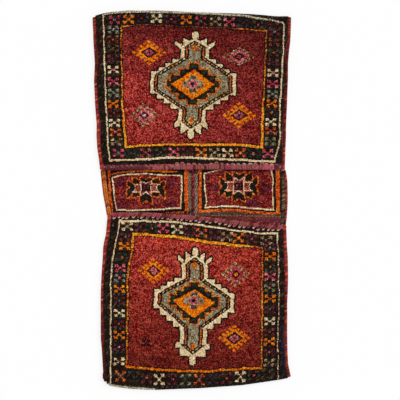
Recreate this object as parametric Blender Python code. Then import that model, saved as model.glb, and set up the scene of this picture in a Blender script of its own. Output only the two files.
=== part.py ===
"""Double saddlebag of knotted pile and flat weave, lying flat with its faces up.

Two flat bags are joined by a short bridge that lies over the saddle. Each bag is a back cloth
and a piled front, joined by a turned edge at the outer end and by an overcast binding down each
side, and open at the mouth beside the bridge. The bags fold at the bridge, and each front lifts
from its back about the turned edge. Lengths are in metres: X runs across the bag, Y along it
from the lower bag to the upper bag, and Z up from the floor.
"""

import math

import bmesh
import bpy

# Lengths along the middle line, from each bag's outer edge to the fold at the bridge
UPPER_BAG_LENGTH = 0.4615
BRIDGE_LENGTH = 0.1523
LOWER_BAG_LENGTH = 0.4700

# The overall width, and the outline's half widths to the left and right as shares of it
BAG_WIDTH = 0.5680
UPPER_FOLD_SHARES = (0.5000, 0.5000)
UPPER_BELLY_SHARES = (0.4930, 0.4870)
UPPER_MOUTH_SHARES = (0.4755, 0.4755)
BRIDGE_UPPER_SHARES = (0.4570, 0.4825)
BRIDGE_LOWER_SHARES = (0.4315, 0.4825)
LOWER_MOUTH_SHARES = (0.4315, 0.4825)
LOWER_BELLY_SHARES = (0.4665, 0.4850)
LOWER_FOLD_SHARES = (0.4580, 0.4965)

# The lower bag was woven out of square: its two ends slope, as a rise for each length of X
LOWER_MOUTH_SLOPE_SHARE = -0.0615
LOWER_FOLD_SLOPE_SHARE = 0.0597

# Thicknesses of the layers, and the clear pocket between back and front
BACK_THICKNESS = 0.0030
POCKET_DEPTH = 0.0090
WEAVE_THICKNESS = 0.0025
PILE_THICKNESS = 0.0045
BRIDGE_PILE_THICKNESS = 0.0035

# Clearances
GAP = 0.0003
SIDE_GAP = 0.0008

# Overcast side bindings
BINDING_WIDTH = 0.0100
BINDING_HEIGHT = 0.0140
BINDING_SETBACK = 0.0040

# The mouth's hem, its chained closing loops and the lip's overhang past the fold at the bridge
LIP_OVERHANG = 0.0030
HEM_WIDTH = 0.0170
HEM_THICKNESS = 0.0012
LOOP_CORD_DIAMETER = 0.0032
LOOP_PITCH = 0.0160
LOOP_SWING = 0.0035
LOOP_END_SETBACK = 0.0060

# Flat-woven edges of the bridge
BRAID_WIDTH = 0.0155
BRAID_THICKNESS = 0.0050
GREY_BRAID_WIDTH = 0.0100
GREY_BRAID_THICKNESS = 0.0045
EDGE_CORD_WIDTH = 0.0070
EDGE_CORD_HEIGHT = 0.0060
EDGE_SETBACK = 0.0030

# The two pile panels of the bridge and the seam cord between them
PANEL_UPPER_MARGIN = 0.0055
PANEL_LOWER_MARGIN = 0.0130
PANEL_SIDE_MARGIN = 0.0010
CENTRE_STRIP_WIDTH = 0.0290
CENTRE_STRIP_OFFSET = 0.0050
SEAM_CORD_WIDTH = 0.0060
SEAM_CORD_HEIGHT = 0.0030

# Yarn ends left at the corners, and a knot tied on a binding
TUFT_LENGTH = 0.0200
TUFT_ROOT_DIAMETER = 0.0050
TUFT_TIP_DIAMETER = 0.0070
KNOT_DIAMETER = 0.0070
KNOT_PLACE_SHARE = 0.18
THREAD_KNOT_DIAMETER = 0.0055

# Which of a pair of shares belongs to each side
SIDES = {"left": 0, "right": 1}

# Counts and shapes
LENGTH_STEPS = 6
ROUND_STEPS = 3
TURN_STEPS = 8
OVAL_SIDES = 10
LOOP_POINTS = 8
TUFT_SIDES = 8

# Heights worked out from the layers
WEAVE_LOW = BACK_THICKNESS + POCKET_DEPTH
WEAVE_HIGH = WEAVE_LOW + WEAVE_THICKNESS
PILE_LOW = WEAVE_HIGH + GAP
PILE_HIGH = PILE_LOW + PILE_THICKNESS
TURN_RADIUS = PILE_HIGH / 2
TURN_WALL = PILE_HIGH - WEAVE_LOW
BACK_MID = BACK_THICKNESS / 2
WEAVE_MID = (WEAVE_LOW + WEAVE_HIGH) / 2
SIDE_INSET = BINDING_WIDTH + SIDE_GAP

# The middle line's length and the drop of the lower left corner centre the bag on the origin
LOWER_DROP = (LOWER_FOLD_SHARES[0] * BAG_WIDTH - SIDE_INSET) * LOWER_FOLD_SLOPE_SHARE
HALF_LENGTH = (UPPER_BAG_LENGTH + BRIDGE_LENGTH + LOWER_BAG_LENGTH + LOWER_DROP) / 2

# A line across the bag is its Y on the middle line and its slope
UPPER_FOLD = (HALF_LENGTH, 0)
UPPER_HINGE = (HALF_LENGTH - UPPER_BAG_LENGTH, 0)
LOWER_HINGE = (UPPER_HINGE[0] - BRIDGE_LENGTH, LOWER_MOUTH_SLOPE_SHARE)
LOWER_FOLD = (LOWER_HINGE[0] - LOWER_BAG_LENGTH, LOWER_FOLD_SLOPE_SHARE)

UPPER_BAG = {
    "name": "upper",
    "outward": 1,
    "hinge": UPPER_HINGE,
    "fold": UPPER_FOLD,
    "width_shares": (UPPER_MOUTH_SHARES, UPPER_BELLY_SHARES, UPPER_FOLD_SHARES),
}
LOWER_BAG = {
    "name": "lower",
    "outward": -1,
    "hinge": LOWER_HINGE,
    "fold": LOWER_FOLD,
    "width_shares": (LOWER_MOUTH_SHARES, LOWER_BELLY_SHARES, LOWER_FOLD_SHARES),
}

# Colours of the yarns, each with the roughness of wool or goat hair
YARN_COLOUR_SHARES = {
    "madder_pile": (0.22, 0.03, 0.03),
    "red_weave": (0.25, 0.05, 0.05),
    "mauve_weave": (0.20, 0.06, 0.07),
    "red_overcast": (0.30, 0.04, 0.03),
    "orange_braid": (0.42, 0.12, 0.03),
    "grey_weave": (0.20, 0.16, 0.12),
    "plum_cord": (0.12, 0.03, 0.05),
    "dark_yarn": (0.04, 0.02, 0.02),
}
WOOL_ROUGHNESS = 0.9


def shift(line, distance):
    """The line moved along its normal, towards +Y where distance is positive."""
    middle, slope = line
    return middle + distance * math.hypot(1, slope), slope


def between(first, second, share):
    """The line that lies at a share of the way from the first line to the second."""
    return (
        first[0] + (second[0] - first[0]) * share,
        first[1] + (second[1] - first[1]) * share,
    )


def bag_side(bag, side, y):
    """The outer half width of a bag at Y, on a parabola through its three measured widths."""
    mouth, belly, fold = (BAG_WIDTH * row[SIDES[side]] for row in bag["width_shares"])
    t = (y - bag["hinge"][0]) / (bag["fold"][0] - bag["hinge"][0])
    bow = 4 * (belly - (mouth + fold) / 2)
    return mouth + (fold - mouth) * t + bow * t * (1 - t)


def bridge_side(side, y):
    """The outer half width of the bridge at Y."""
    upper = BAG_WIDTH * BRIDGE_UPPER_SHARES[SIDES[side]]
    lower = BAG_WIDTH * BRIDGE_LOWER_SHARES[SIDES[side]]
    return upper + (lower - upper) * (UPPER_HINGE[0] - y) / BRIDGE_LENGTH


def crossing(side_width, side, line, inset):
    """Where a line across the bag meets a side's outline, moved in by the inset."""
    middle, slope = line
    sign = -1 if side == "left" else 1
    x, y = 0, middle
    for _ in range(4):
        x = sign * (side_width(side, y) - inset)
        y = middle + slope * x
    return x, y


def bag_crossing(bag, side, line, inset):
    return crossing(lambda s, y: bag_side(bag, s, y), side, line, inset)


def bridge_crossing(side, line, inset):
    return crossing(bridge_side, side, line, inset)


def yarn_material(yarn):
    material = bpy.data.materials.new(yarn)
    material.use_nodes = True
    shader = material.node_tree.nodes["Principled BSDF"]
    shader.inputs["Base Color"].default_value = (*YARN_COLOUR_SHARES[yarn], 1)
    shader.inputs["Roughness"].default_value = WOOL_ROUGHNESS
    shader.inputs["Metallic"].default_value = 0
    return material


def add_piece(name, mesh, yarn, pivot):
    """Links a mesh as a named piece, parented to the empty on its body's axis."""
    mesh.materials.append(yarn_material(yarn))
    piece = bpy.data.objects.new(name, mesh)
    bpy.context.scene.collection.objects.link(piece)
    piece.parent = pivot
    piece.matrix_parent_inverse = pivot.matrix_world.inverted()
    return piece


def closed_mesh(name, vertices, faces):
    """A closed mesh with its faces turned outwards and doubled points merged."""
    work = bmesh.new()
    points = [work.verts.new(v) for v in vertices]
    for face in faces:
        work.faces.new([points[i] for i in face])
    bmesh.ops.remove_doubles(work, verts=work.verts[:], dist=GAP / 100)
    bmesh.ops.recalc_face_normals(work, faces=work.faces[:])
    mesh = bpy.data.meshes.new(name)
    work.to_mesh(mesh)
    work.free()
    return mesh


def loft(name, rings, yarn, pivot):
    """A closed solid through rings of as many points each, capped at both ends."""
    count = len(rings[0])
    vertices = [point for ring in rings for point in ring]
    faces = [list(range(count))]
    faces.append([(len(rings) - 1) * count + i for i in range(count)])
    for row in range(len(rings) - 1):
        for i in range(count):
            a = row * count + i
            b = row * count + (i + 1) % count
            faces.append([a, b, b + count, a + count])
    return add_piece(name, closed_mesh(name, vertices, faces), yarn, pivot)


def slab_ring(left, right, low, high):
    """The four corners of a cloth's cross-section between two points."""
    return [(*left, low), (*right, low), (*right, high), (*left, high)]


def bag_panel(bag, piece, lines, inset, low, high, yarn, pivot):
    """A flat layer of a bag whose rows lie on the given lines."""
    rings = []
    for line in lines:
        left = bag_crossing(bag, "left", line, inset)
        right = bag_crossing(bag, "right", line, inset)
        rings.append(slab_ring(left, right, low, high))
    return loft(f"{bag['name']}_{piece}", rings, yarn, pivot)


def hinged_panel(bag, piece, axis, end, radius, middle, yarn, pivot):
    """A layer with a half-round edge about its hinge's axis, running to the end line."""
    away = 1 if end[0] > axis[0] else -1
    rings = []
    for step in range(ROUND_STEPS):
        angle = math.pi / 2 * (1 - step / ROUND_STEPS)
        line = shift(axis, -away * radius * math.sin(angle))
        rise = radius * math.cos(angle)
        left = bag_crossing(bag, "left", line, SIDE_INSET)
        right = bag_crossing(bag, "right", line, SIDE_INSET)
        rings.append(slab_ring(left, right, middle - rise, middle + rise))
    for step in range(LENGTH_STEPS + 1):
        line = between(axis, end, step / LENGTH_STEPS)
        left = bag_crossing(bag, "left", line, SIDE_INSET)
        right = bag_crossing(bag, "right", line, SIDE_INSET)
        rings.append(slab_ring(left, right, middle - radius, middle + radius))
    return loft(f"{bag['name']}_{piece}", rings, yarn, pivot)


def oval(width, height):
    """Points round an oval that stands on zero, as (across, up), with a flat at its foot."""
    points = []
    for i in range(OVAL_SIDES):
        angle = 2 * math.pi * (i + 0.5) / OVAL_SIDES - math.pi / 2
        reach = math.cos(math.pi / OVAL_SIDES)
        points.append(
            (
                width / 2 * math.cos(angle) / reach,
                height / 2 * (1 + math.sin(angle) / reach),
            )
        )
    return points


def turn_centre(bag):
    """The line that the turned edge of a bag curves about."""
    return shift(bag["fold"], -bag["outward"] * TURN_RADIUS)


def front_axis(bag):
    """The line that the front lifts about, half its weave's thickness inside the turned edge."""
    return shift(turn_centre(bag), -bag["outward"] * (WEAVE_THICKNESS / 2 + GAP))


def lip_line(bag):
    return shift(bag["hinge"], -bag["outward"] * LIP_OVERHANG)


def make_back_cloth(bag, pivot):
    end = shift(turn_centre(bag), -bag["outward"] * GAP)
    hinged_panel(
        bag,
        "back_cloth",
        bag["hinge"],
        end,
        BACK_MID,
        BACK_MID,
        "red_weave",
        pivot,
    )


def make_turned_edge(bag, pivot):
    """The piled cloth where it turns round the outer end, from the back up to the front."""
    centre = turn_centre(bag)
    profile = []
    for step in range(TURN_STEPS + 1):
        angle = math.pi * (step / TURN_STEPS - 1 / 2)
        profile.append((TURN_RADIUS * math.cos(angle), TURN_RADIUS * math.sin(angle)))
    inner = TURN_RADIUS - TURN_WALL
    for step in range(TURN_STEPS, -1, -1):
        angle = math.pi * (step / TURN_STEPS - 1 / 2)
        profile.append((inner * math.cos(angle), inner * math.sin(angle)))
    rings = []
    for side in ("left", "right"):
        ring = []
        for out, up in profile:
            line = shift(centre, bag["outward"] * out)
            x, y = bag_crossing(bag, side, line, SIDE_INSET)
            ring.append((x, y, TURN_RADIUS + up))
        rings.append(ring)
    loft(f"{bag['name']}_turned_edge", rings, "madder_pile", pivot)


def make_bindings(bag, pivot):
    """The overcast roll that joins front and back down each side of a bag."""
    start = shift(bag["hinge"], bag["outward"] * BINDING_SETBACK)
    end = turn_centre(bag)
    for side in ("left", "right"):
        sign = -1 if side == "left" else 1
        rings = []
        for step in range(2 * LENGTH_STEPS + 1):
            line = between(start, end, step / (2 * LENGTH_STEPS))
            x, y = bag_crossing(bag, side, line, BINDING_WIDTH / 2)
            ring = []
            for across, up in oval(BINDING_WIDTH, BINDING_HEIGHT):
                reach = x + sign * across
                ring.append((reach, y + line[1] * sign * across, up))
            rings.append(ring)
        loft(f"{bag['name']}_{side}_binding", rings, "red_overcast", pivot)


def make_front_weave(bag, pivot):
    hinged_panel(
        bag,
        "front_weave",
        front_axis(bag),
        lip_line(bag),
        WEAVE_THICKNESS / 2,
        WEAVE_MID,
        "red_weave",
        pivot,
    )


def make_front_pile(bag, pivot):
    """The knotted pile on the front, from the turned edge to the mouth's hem."""
    start = shift(front_axis(bag), -bag["outward"] * GAP)
    end = shift(lip_line(bag), bag["outward"] * (HEM_WIDTH + GAP))
    lines = [
        between(start, end, step / LENGTH_STEPS) for step in range(LENGTH_STEPS + 1)
    ]
    bag_panel(
        bag,
        "front_pile",
        lines,
        SIDE_INSET,
        PILE_LOW,
        PILE_HIGH,
        "madder_pile",
        pivot,
    )


def make_mouth_hem(bag, pivot):
    lip = lip_line(bag)
    lines = [lip, shift(lip, bag["outward"] * HEM_WIDTH)]
    low = WEAVE_HIGH + GAP
    bag_panel(
        bag,
        "mouth_hem",
        lines,
        SIDE_INSET,
        low,
        low + HEM_THICKNESS,
        "mauve_weave",
        pivot,
    )


def make_loop_chain(bag, pivot):
    """The chain of closing loops, laid along the hem as one waved cord."""
    middle = shift(lip_line(bag), bag["outward"] * HEM_WIDTH / 2)
    left, _ = bag_crossing(bag, "left", middle, SIDE_INSET + LOOP_END_SETBACK)
    right, _ = bag_crossing(bag, "right", middle, SIDE_INSET + LOOP_END_SETBACK)
    waves = round((right - left) / LOOP_PITCH)
    count = waves * LOOP_POINTS
    height = WEAVE_HIGH + GAP + HEM_THICKNESS + GAP + LOOP_CORD_DIAMETER / 2
    curve = bpy.data.curves.new(f"{bag['name']}_loop_chain", "CURVE")
    curve.dimensions = "3D"
    curve.bevel_depth = LOOP_CORD_DIAMETER / 2
    curve.bevel_resolution = 1
    curve.use_fill_caps = True
    spline = curve.splines.new("POLY")
    spline.points.add(count)
    for i, point in enumerate(spline.points):
        x = left + (right - left) * i / count
        swing = LOOP_SWING * math.sin(2 * math.pi * i / LOOP_POINTS)
        line = shift(middle, swing)
        point.co = (x, line[0] + line[1] * x, height, 1)
    add_piece(f"{bag['name']}_loop_chain", curve, "mauve_weave", pivot)


def make_bag(bag, back_pivot, front_pivot):
    make_back_cloth(bag, back_pivot)
    make_turned_edge(bag, back_pivot)
    make_bindings(bag, back_pivot)
    make_front_weave(bag, front_pivot)
    make_front_pile(bag, front_pivot)
    make_mouth_hem(bag, front_pivot)
    make_loop_chain(bag, front_pivot)


def make_tuft(bag, side, pivot):
    """Yarn ends past the last stitch of a binding, lying along its outer end."""
    rings = []
    end = turn_centre(bag)
    start = shift(end, -bag["outward"] * TUFT_LENGTH)
    for line, diameter in ((start, TUFT_ROOT_DIAMETER), (end, TUFT_TIP_DIAMETER)):
        x, y = bag_crossing(bag, side, line, BINDING_WIDTH / 2)
        height = BINDING_HEIGHT + GAP + diameter / 2
        ring = []
        for i in range(TUFT_SIDES):
            angle = 2 * math.pi * i / TUFT_SIDES
            across = diameter / 2 * math.cos(angle)
            up = diameter / 2 * math.sin(angle)
            ring.append((x + across, y, height + up))
        rings.append(ring)
    loft(f"{bag['name']}_corner_tuft", rings, "dark_yarn", pivot)


def knot(name, x, y, base, diameter, yarn, pivot):
    """A round knot of yarn that rests at a height."""
    work = bmesh.new()
    bmesh.ops.create_icosphere(work, subdivisions=2, radius=diameter / 2)
    bmesh.ops.translate(work, verts=work.verts[:], vec=(x, y, base + diameter / 2))
    mesh = bpy.data.meshes.new(name)
    work.to_mesh(mesh)
    work.free()
    add_piece(name, mesh, yarn, pivot)


def make_binding_knot(bag, side, pivot):
    """A knot of yarn on top of a side binding."""
    line = between(bag["hinge"], bag["fold"], KNOT_PLACE_SHARE)
    x, y = bag_crossing(bag, side, line, BINDING_WIDTH / 2)
    name = f"{bag['name']}_binding_knot"
    knot(name, x, y, BINDING_HEIGHT + GAP, KNOT_DIAMETER, "red_overcast", pivot)


def make_thread_knot(line, pivot):
    """A dark knot of thread ends beside the upper end of the bridge's left braid."""
    x, y = bridge_crossing("left", line, -THREAD_KNOT_DIAMETER / 2 - GAP)
    knot("bridge_thread_knot", x, y, 0, THREAD_KNOT_DIAMETER, "dark_yarn", pivot)


def bridge_strip(name, start, end, left, right, low, high, yarn, pivot):
    """A flat strip of the bridge between two lines, with its sides given as functions."""
    rings = []
    for step in range(LENGTH_STEPS + 1):
        line = between(start, end, step / LENGTH_STEPS)
        rings.append(slab_ring(left(line), right(line), low, high))
    return loft(name, rings, yarn, pivot)


def on_line(x, line):
    return x, line[0] + line[1] * x


def make_bridge(pivot):
    """The saddle part between the bags: ground cloth, two pile panels, braids and cords."""
    reach = BACK_MID + GAP
    top = shift(UPPER_HINGE, -reach)
    foot = shift(LOWER_HINGE, reach)
    edge_top = shift(top, -EDGE_SETBACK)
    edge_foot = shift(foot, EDGE_SETBACK)
    braid_inner = BRAID_WIDTH + GAP
    cord_inner = EDGE_CORD_WIDTH + GAP
    grey_inner = cord_inner + GREY_BRAID_WIDTH + GAP
    bridge_strip(
        "bridge_ground_cloth",
        top,
        foot,
        lambda line: bridge_crossing("left", line, braid_inner),
        lambda line: bridge_crossing("right", line, grey_inner),
        0,
        BACK_THICKNESS,
        "red_weave",
        pivot,
    )
    bridge_strip(
        "bridge_left_braid",
        edge_top,
        edge_foot,
        lambda line: bridge_crossing("left", line, 0),
        lambda line: bridge_crossing("left", line, BRAID_WIDTH),
        0,
        BRAID_THICKNESS,
        "orange_braid",
        pivot,
    )
    bridge_strip(
        "bridge_right_braid",
        edge_top,
        edge_foot,
        lambda line: bridge_crossing("right", line, cord_inner + GREY_BRAID_WIDTH),
        lambda line: bridge_crossing("right", line, cord_inner),
        0,
        GREY_BRAID_THICKNESS,
        "grey_weave",
        pivot,
    )
    make_edge_cord(edge_top, edge_foot, pivot)
    make_panels(top, foot, braid_inner, grey_inner, pivot)
    make_seam_cord(edge_top, edge_foot, pivot)
    make_thread_knot(shift(edge_top, -THREAD_KNOT_DIAMETER / 2), pivot)


def make_edge_cord(top, foot, pivot):
    """The thin overcast cord down the right edge of the bridge."""
    rings = []
    for line in (top, foot):
        x, _ = bridge_crossing("right", line, EDGE_CORD_WIDTH / 2)
        ring = []
        for across, up in oval(EDGE_CORD_WIDTH, EDGE_CORD_HEIGHT):
            ring.append((*on_line(x + across, line), up))
        rings.append(ring)
    loft("bridge_right_cord", rings, "red_overcast", pivot)


def make_panels(top, foot, left_inset, right_inset, pivot):
    """The two squares of knotted pile, one each side of the centre strip."""
    start = shift(top, -PANEL_UPPER_MARGIN)
    end = shift(foot, PANEL_LOWER_MARGIN)
    low = BACK_THICKNESS + GAP
    high = low + BRIDGE_PILE_THICKNESS
    strip_left = CENTRE_STRIP_OFFSET - CENTRE_STRIP_WIDTH / 2
    strip_right = CENTRE_STRIP_OFFSET + CENTRE_STRIP_WIDTH / 2
    bridge_strip(
        "bridge_left_pile_panel",
        start,
        end,
        lambda line: bridge_crossing("left", line, left_inset + PANEL_SIDE_MARGIN),
        lambda line: on_line(strip_left, line),
        low,
        high,
        "madder_pile",
        pivot,
    )
    bridge_strip(
        "bridge_right_pile_panel",
        start,
        end,
        lambda line: on_line(strip_right, line),
        lambda line: bridge_crossing("right", line, right_inset + PANEL_SIDE_MARGIN),
        low,
        high,
        "madder_pile",
        pivot,
    )


def make_seam_cord(top, foot, pivot):
    """The plum cord along the centre strip, where the two widths are sewn together."""
    rings = []
    for line in (top, foot):
        ring = []
        for across, up in oval(SEAM_CORD_WIDTH, SEAM_CORD_HEIGHT):
            x = CENTRE_STRIP_OFFSET + across
            ring.append((*on_line(x, line), BACK_THICKNESS + GAP + up))
        rings.append(ring)
    loft("bridge_seam_cord", rings, "plum_cord", pivot)


def make_pivot(name, line, height, parent):
    """An empty on a hinge's axis, turned so that its X runs along the axis."""
    pivot = bpy.data.objects.new(name, None)
    bpy.context.scene.collection.objects.link(pivot)
    pivot.location = (0, line[0], height)
    pivot.rotation_euler = (0, 0, math.atan(line[1]))
    bpy.context.view_layer.update()
    if parent:
        pivot.parent = parent
        pivot.matrix_parent_inverse = parent.matrix_world.inverted()
        bpy.context.view_layer.update()
    return pivot


def main():
    for item in list(bpy.data.objects):
        bpy.data.objects.remove(item, do_unlink=True)
    bridge = make_pivot("bridge_pivot", (UPPER_HINGE[0] - BRIDGE_LENGTH / 2, 0), 0, None)
    make_bridge(bridge)
    backs = []
    for bag in (UPPER_BAG, LOWER_BAG):
        back = make_pivot(f"{bag['name']}_bag_pivot", bag["hinge"], BACK_MID, bridge)
        axis = front_axis(bag)
        front = make_pivot(f"{bag['name']}_front_pivot", axis, WEAVE_MID, back)
        make_bag(bag, back, front)
        backs.append(back)
        for pivot in (back, front):
            place = tuple(round(v, 6) for v in pivot.matrix_world.translation)
            way = tuple(round(v, 6) for v in pivot.matrix_world.col[0][:3])
            print(pivot.name, "axis through", place, "along", way)
    make_tuft(UPPER_BAG, "right", backs[0])
    make_tuft(LOWER_BAG, "left", backs[1])
    make_binding_knot(LOWER_BAG, "left", backs[1])
    bpy.context.view_layer.update()


main()
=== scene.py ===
import math

import bpy
import numpy as np
from bpy.props import FloatProperty, FloatVectorProperty, PointerProperty
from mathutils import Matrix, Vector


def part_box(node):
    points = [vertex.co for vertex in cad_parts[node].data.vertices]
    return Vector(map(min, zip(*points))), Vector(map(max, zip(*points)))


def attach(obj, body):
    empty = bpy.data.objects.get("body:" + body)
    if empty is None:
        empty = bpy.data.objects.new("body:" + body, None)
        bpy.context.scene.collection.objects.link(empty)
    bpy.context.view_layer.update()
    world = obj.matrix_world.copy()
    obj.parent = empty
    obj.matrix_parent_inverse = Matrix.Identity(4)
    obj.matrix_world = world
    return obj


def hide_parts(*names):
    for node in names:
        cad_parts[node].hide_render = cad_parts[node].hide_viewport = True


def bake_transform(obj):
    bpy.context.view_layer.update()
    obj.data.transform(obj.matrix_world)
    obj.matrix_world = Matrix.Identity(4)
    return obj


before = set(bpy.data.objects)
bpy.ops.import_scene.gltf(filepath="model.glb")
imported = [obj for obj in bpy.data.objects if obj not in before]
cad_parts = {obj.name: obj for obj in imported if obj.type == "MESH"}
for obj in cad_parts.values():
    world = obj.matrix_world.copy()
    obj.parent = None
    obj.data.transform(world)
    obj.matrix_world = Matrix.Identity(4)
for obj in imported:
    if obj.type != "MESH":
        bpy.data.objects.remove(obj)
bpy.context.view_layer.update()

bl_info = {
    "name": "Knotted double saddlebag",
    "version": (1, 0, 0),
    "blender": (4, 5, 0),
    "location": "3D View > Sidebar > Saddlebag",
    "description": "Dresses the packed double saddlebag in knotted pile, flat weave, bindings and loops",
    "category": "Object",
}

# The bag's outline in metres, as in the part's source: half widths are shares of the width
WIDTH = 0.5680
SIDES = {"left": (0, -1), "right": (1, 1)}
BAGS = {
    "upper": {
        "name": "upper",
        "outward": 1,
        "hinge": (0.087843, 0.0),
        "fold": (0.549343, 0.0),
        "shares": ((0.4755, 0.4755), (0.4930, 0.4870), (0.5000, 0.5000)),
        "hem": 0.0145,
        "corner": 0.0024,
        "loops": {
            "pitch": 0.80, "wide": 0.34, "reach": 0.0168, "lean": 0.0, "cord": 1.36,
            # "pale" is the share of loops whose heads get a painted highlight, and "tip" how bright that
            # painted highlight is
            "pale": 0.30, "tip": 0.62,
        },
        "front_flat": (0.270, 0.455),
        "back_flat": (0.551, 0.464),
        "tuft_seed": 111,
    },
    "lower": {
        "name": "lower",
        "outward": -1,
        "hinge": (-0.064457, -0.0615),
        "fold": (-0.534457, 0.0597),
        "shares": ((0.4315, 0.4825), (0.4665, 0.4850), (0.4580, 0.4965)),
        "hem": 0.0092,
        "corner": 0.0075,
        "loops": {
            "pitch": 0.70, "wide": 0.22, "reach": 0.0160, "lean": -0.62, "cord": 1.05,
            # "pale" is the share of loops whose heads get a painted highlight, and "tip" how bright that
            # painted highlight is
            "pale": 0.70, "tip": 1.05,
        },
        "front_flat": (0.268, 0.473),
        "back_flat": (0.530, 0.478),
        "tuft_seed": 112,
    },
}
BRIDGE_SHARES = {"left": (0.4570, 0.4315), "right": (0.4825, 0.4825)}
BRIDGE_LENGTH = 0.1523

# Layers of the bag in metres
BACK_THICKNESS = 0.0030
WEAVE_LOW = 0.0120
WEAVE_HIGH = 0.0145
PILE_LOW = 0.0147
PILE_HIGH = 0.0193
TURN_RADIUS = PILE_HIGH / 2
TURN_INNER = TURN_RADIUS - (PILE_HIGH - WEAVE_LOW)
PANEL_LOW = 0.0033
PANEL_HIGH = 0.0068
BINDING_WIDTH = 0.0100
BINDING_HEIGHT = 0.0140
# How high a binding's base lies where it runs on over the bridge
BINDING_OVER_BRIDGE = 0.0094
# The dressed cloths tuck a little way into the bindings, so no floor shows between them
TUCK = 0.0085
BRAID_WIDTH = 0.0155
BRAID_THICKNESS = 0.0050
GREY_WIDTH = 0.0100
GREY_THICKNESS = 0.0045
EDGE_CORD_WIDTH = 0.0070
EDGE_CORD_HEIGHT = 0.0060
EDGE_SETBACK = 0.0014
STRIP_MIDDLE = 0.0050
STRIP_WIDTH = 0.0290
# How far each back runs on past the bag's fold onto the bridge, and how far short of that fold the bridge's
# ground stops
BEND = 0.012
# The knots' shape: height from valley to tip; and, in the colour, the painted shade in the valleys and the
# painted highlight on the tips
TUFT_HEIGHT = 0.0012
ROOT_PAINTED_SHADE = 0.80
TIP_PAINTED_HIGHLIGHT = 1.32

# The chart's unit is 2.9 mm of cloth, and its middle is the bag's middle; its rows count down
CHART_UNIT = 0.0029
CHART_MIDDLE = (191.5, 199.5)

# Wool yarns by name, as sRGB hex
YARNS = {
    "madder": "#963129",
    "purple_madder": "#702733",
    "bright_madder": "#b0452f",
    "black": "#231a13",
    "navy": "#1b212b",
    "cream": "#ecd5a6",
    "cream_pink": "#e2b495",
    "pale_wool": "#c9bfa6",
    "golden": "#efa02a",
    "orange": "#e8790b",
    "line_orange": "#c4701f",
    "bridge_orange": "#cb5a1f",
    "rust": "#b25526",
    "grey": "#ac926c",
    "green_grey": "#87876a",
    "pink": "#c7606c",
    "magenta": "#b44460",
    "plum": "#6c2d38",
    "indigo": "#40293a",
    "blue_grey": "#858079",
    "olive": "#57482d",
    "red_brown": "#8c4228",
    "crimson": "#a93a48",
    "orange_red": "#cc5c2a",
    "charcoal": "#473f31",
    "dark_green": "#2b3326",
    "mauve": "#aa5d5c",
    "pale_pink": "#e0b0a2",
    "overcast_red": "#923026",
    "overcast_dark": "#3c1513",
    "overcast_rust": "#b34c2a",
    "overcast_crimson": "#7a272c",
    "braid_orange": "#cb6f2c",
    "braid_red": "#9a3a26",
    "undyed_grey": "#8a7559",
    "undyed_brown": "#5d4535",
    "plum_red": "#72302f",
    "warm_madder": "#963123",
}
YARN_NAMES = list(YARNS)
YARN_NUMBER = {name: number for number, name in enumerate(YARN_NAMES)}

# How much the knots of a yarn differ in lightness, as uneven dye with painted shade in the pile's dips: wool
# dyed in small lots takes it unevenly
YARN_SPREAD = {
    "madder": 0.56,
    "warm_madder": 0.56,
    "golden": 0.22,
    "cream": 0.17,
    "orange": 0.22,
    "line_orange": 0.42,
    "bridge_orange": 0.26,
    "black": 0.45,
    "grey": 0.42,
}
OTHER_SPREAD = 0.38
# Light knots come out paler and dark ones deeper, as worn tips and as painted shade in the dips, so a yarn's
# weak colours vary this much more
PALING = 2.1
MOST_LIGHT = 5.0
# Some knots are spun with a second yarn: the two, its share, and the part of the draws that it takes
YARN_MIXES = (
    ("madder", "purple_madder", 0.75, 0.0, 0.24),
    ("madder", "bright_madder", 0.45, 0.84, 1.0),
    ("warm_madder", "purple_madder", 0.60, 0.0, 0.20),
    ("warm_madder", "bright_madder", 0.45, 0.82, 1.0),
    ("cream", "cream_pink", 0.8, 0.0, 0.28),
    ("grey", "olive", 0.5, 0.0, 0.2),
    ("grey", "undyed_grey", 0.7, 0.6, 1.0),
    ("mauve", "plum_red", 0.8, 0.0, 0.3),
    ("mauve", "pink", 0.5, 0.8, 1.0),
)
# The darker yarn that is worked into each motif beside its own
PARTNERS = {
    "orange": "rust",
    "pink": "crimson",
    "magenta": "plum",
    "cream": "grey",
    "orange_red": "red_brown",
    "grey": "undyed_brown",
    "crimson": "plum",
    "green_grey": "charcoal",
    "blue_grey": "charcoal",
    "plum": "overcast_dark",
    "mauve": "plum",
    "red_brown": "overcast_dark",
}
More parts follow.
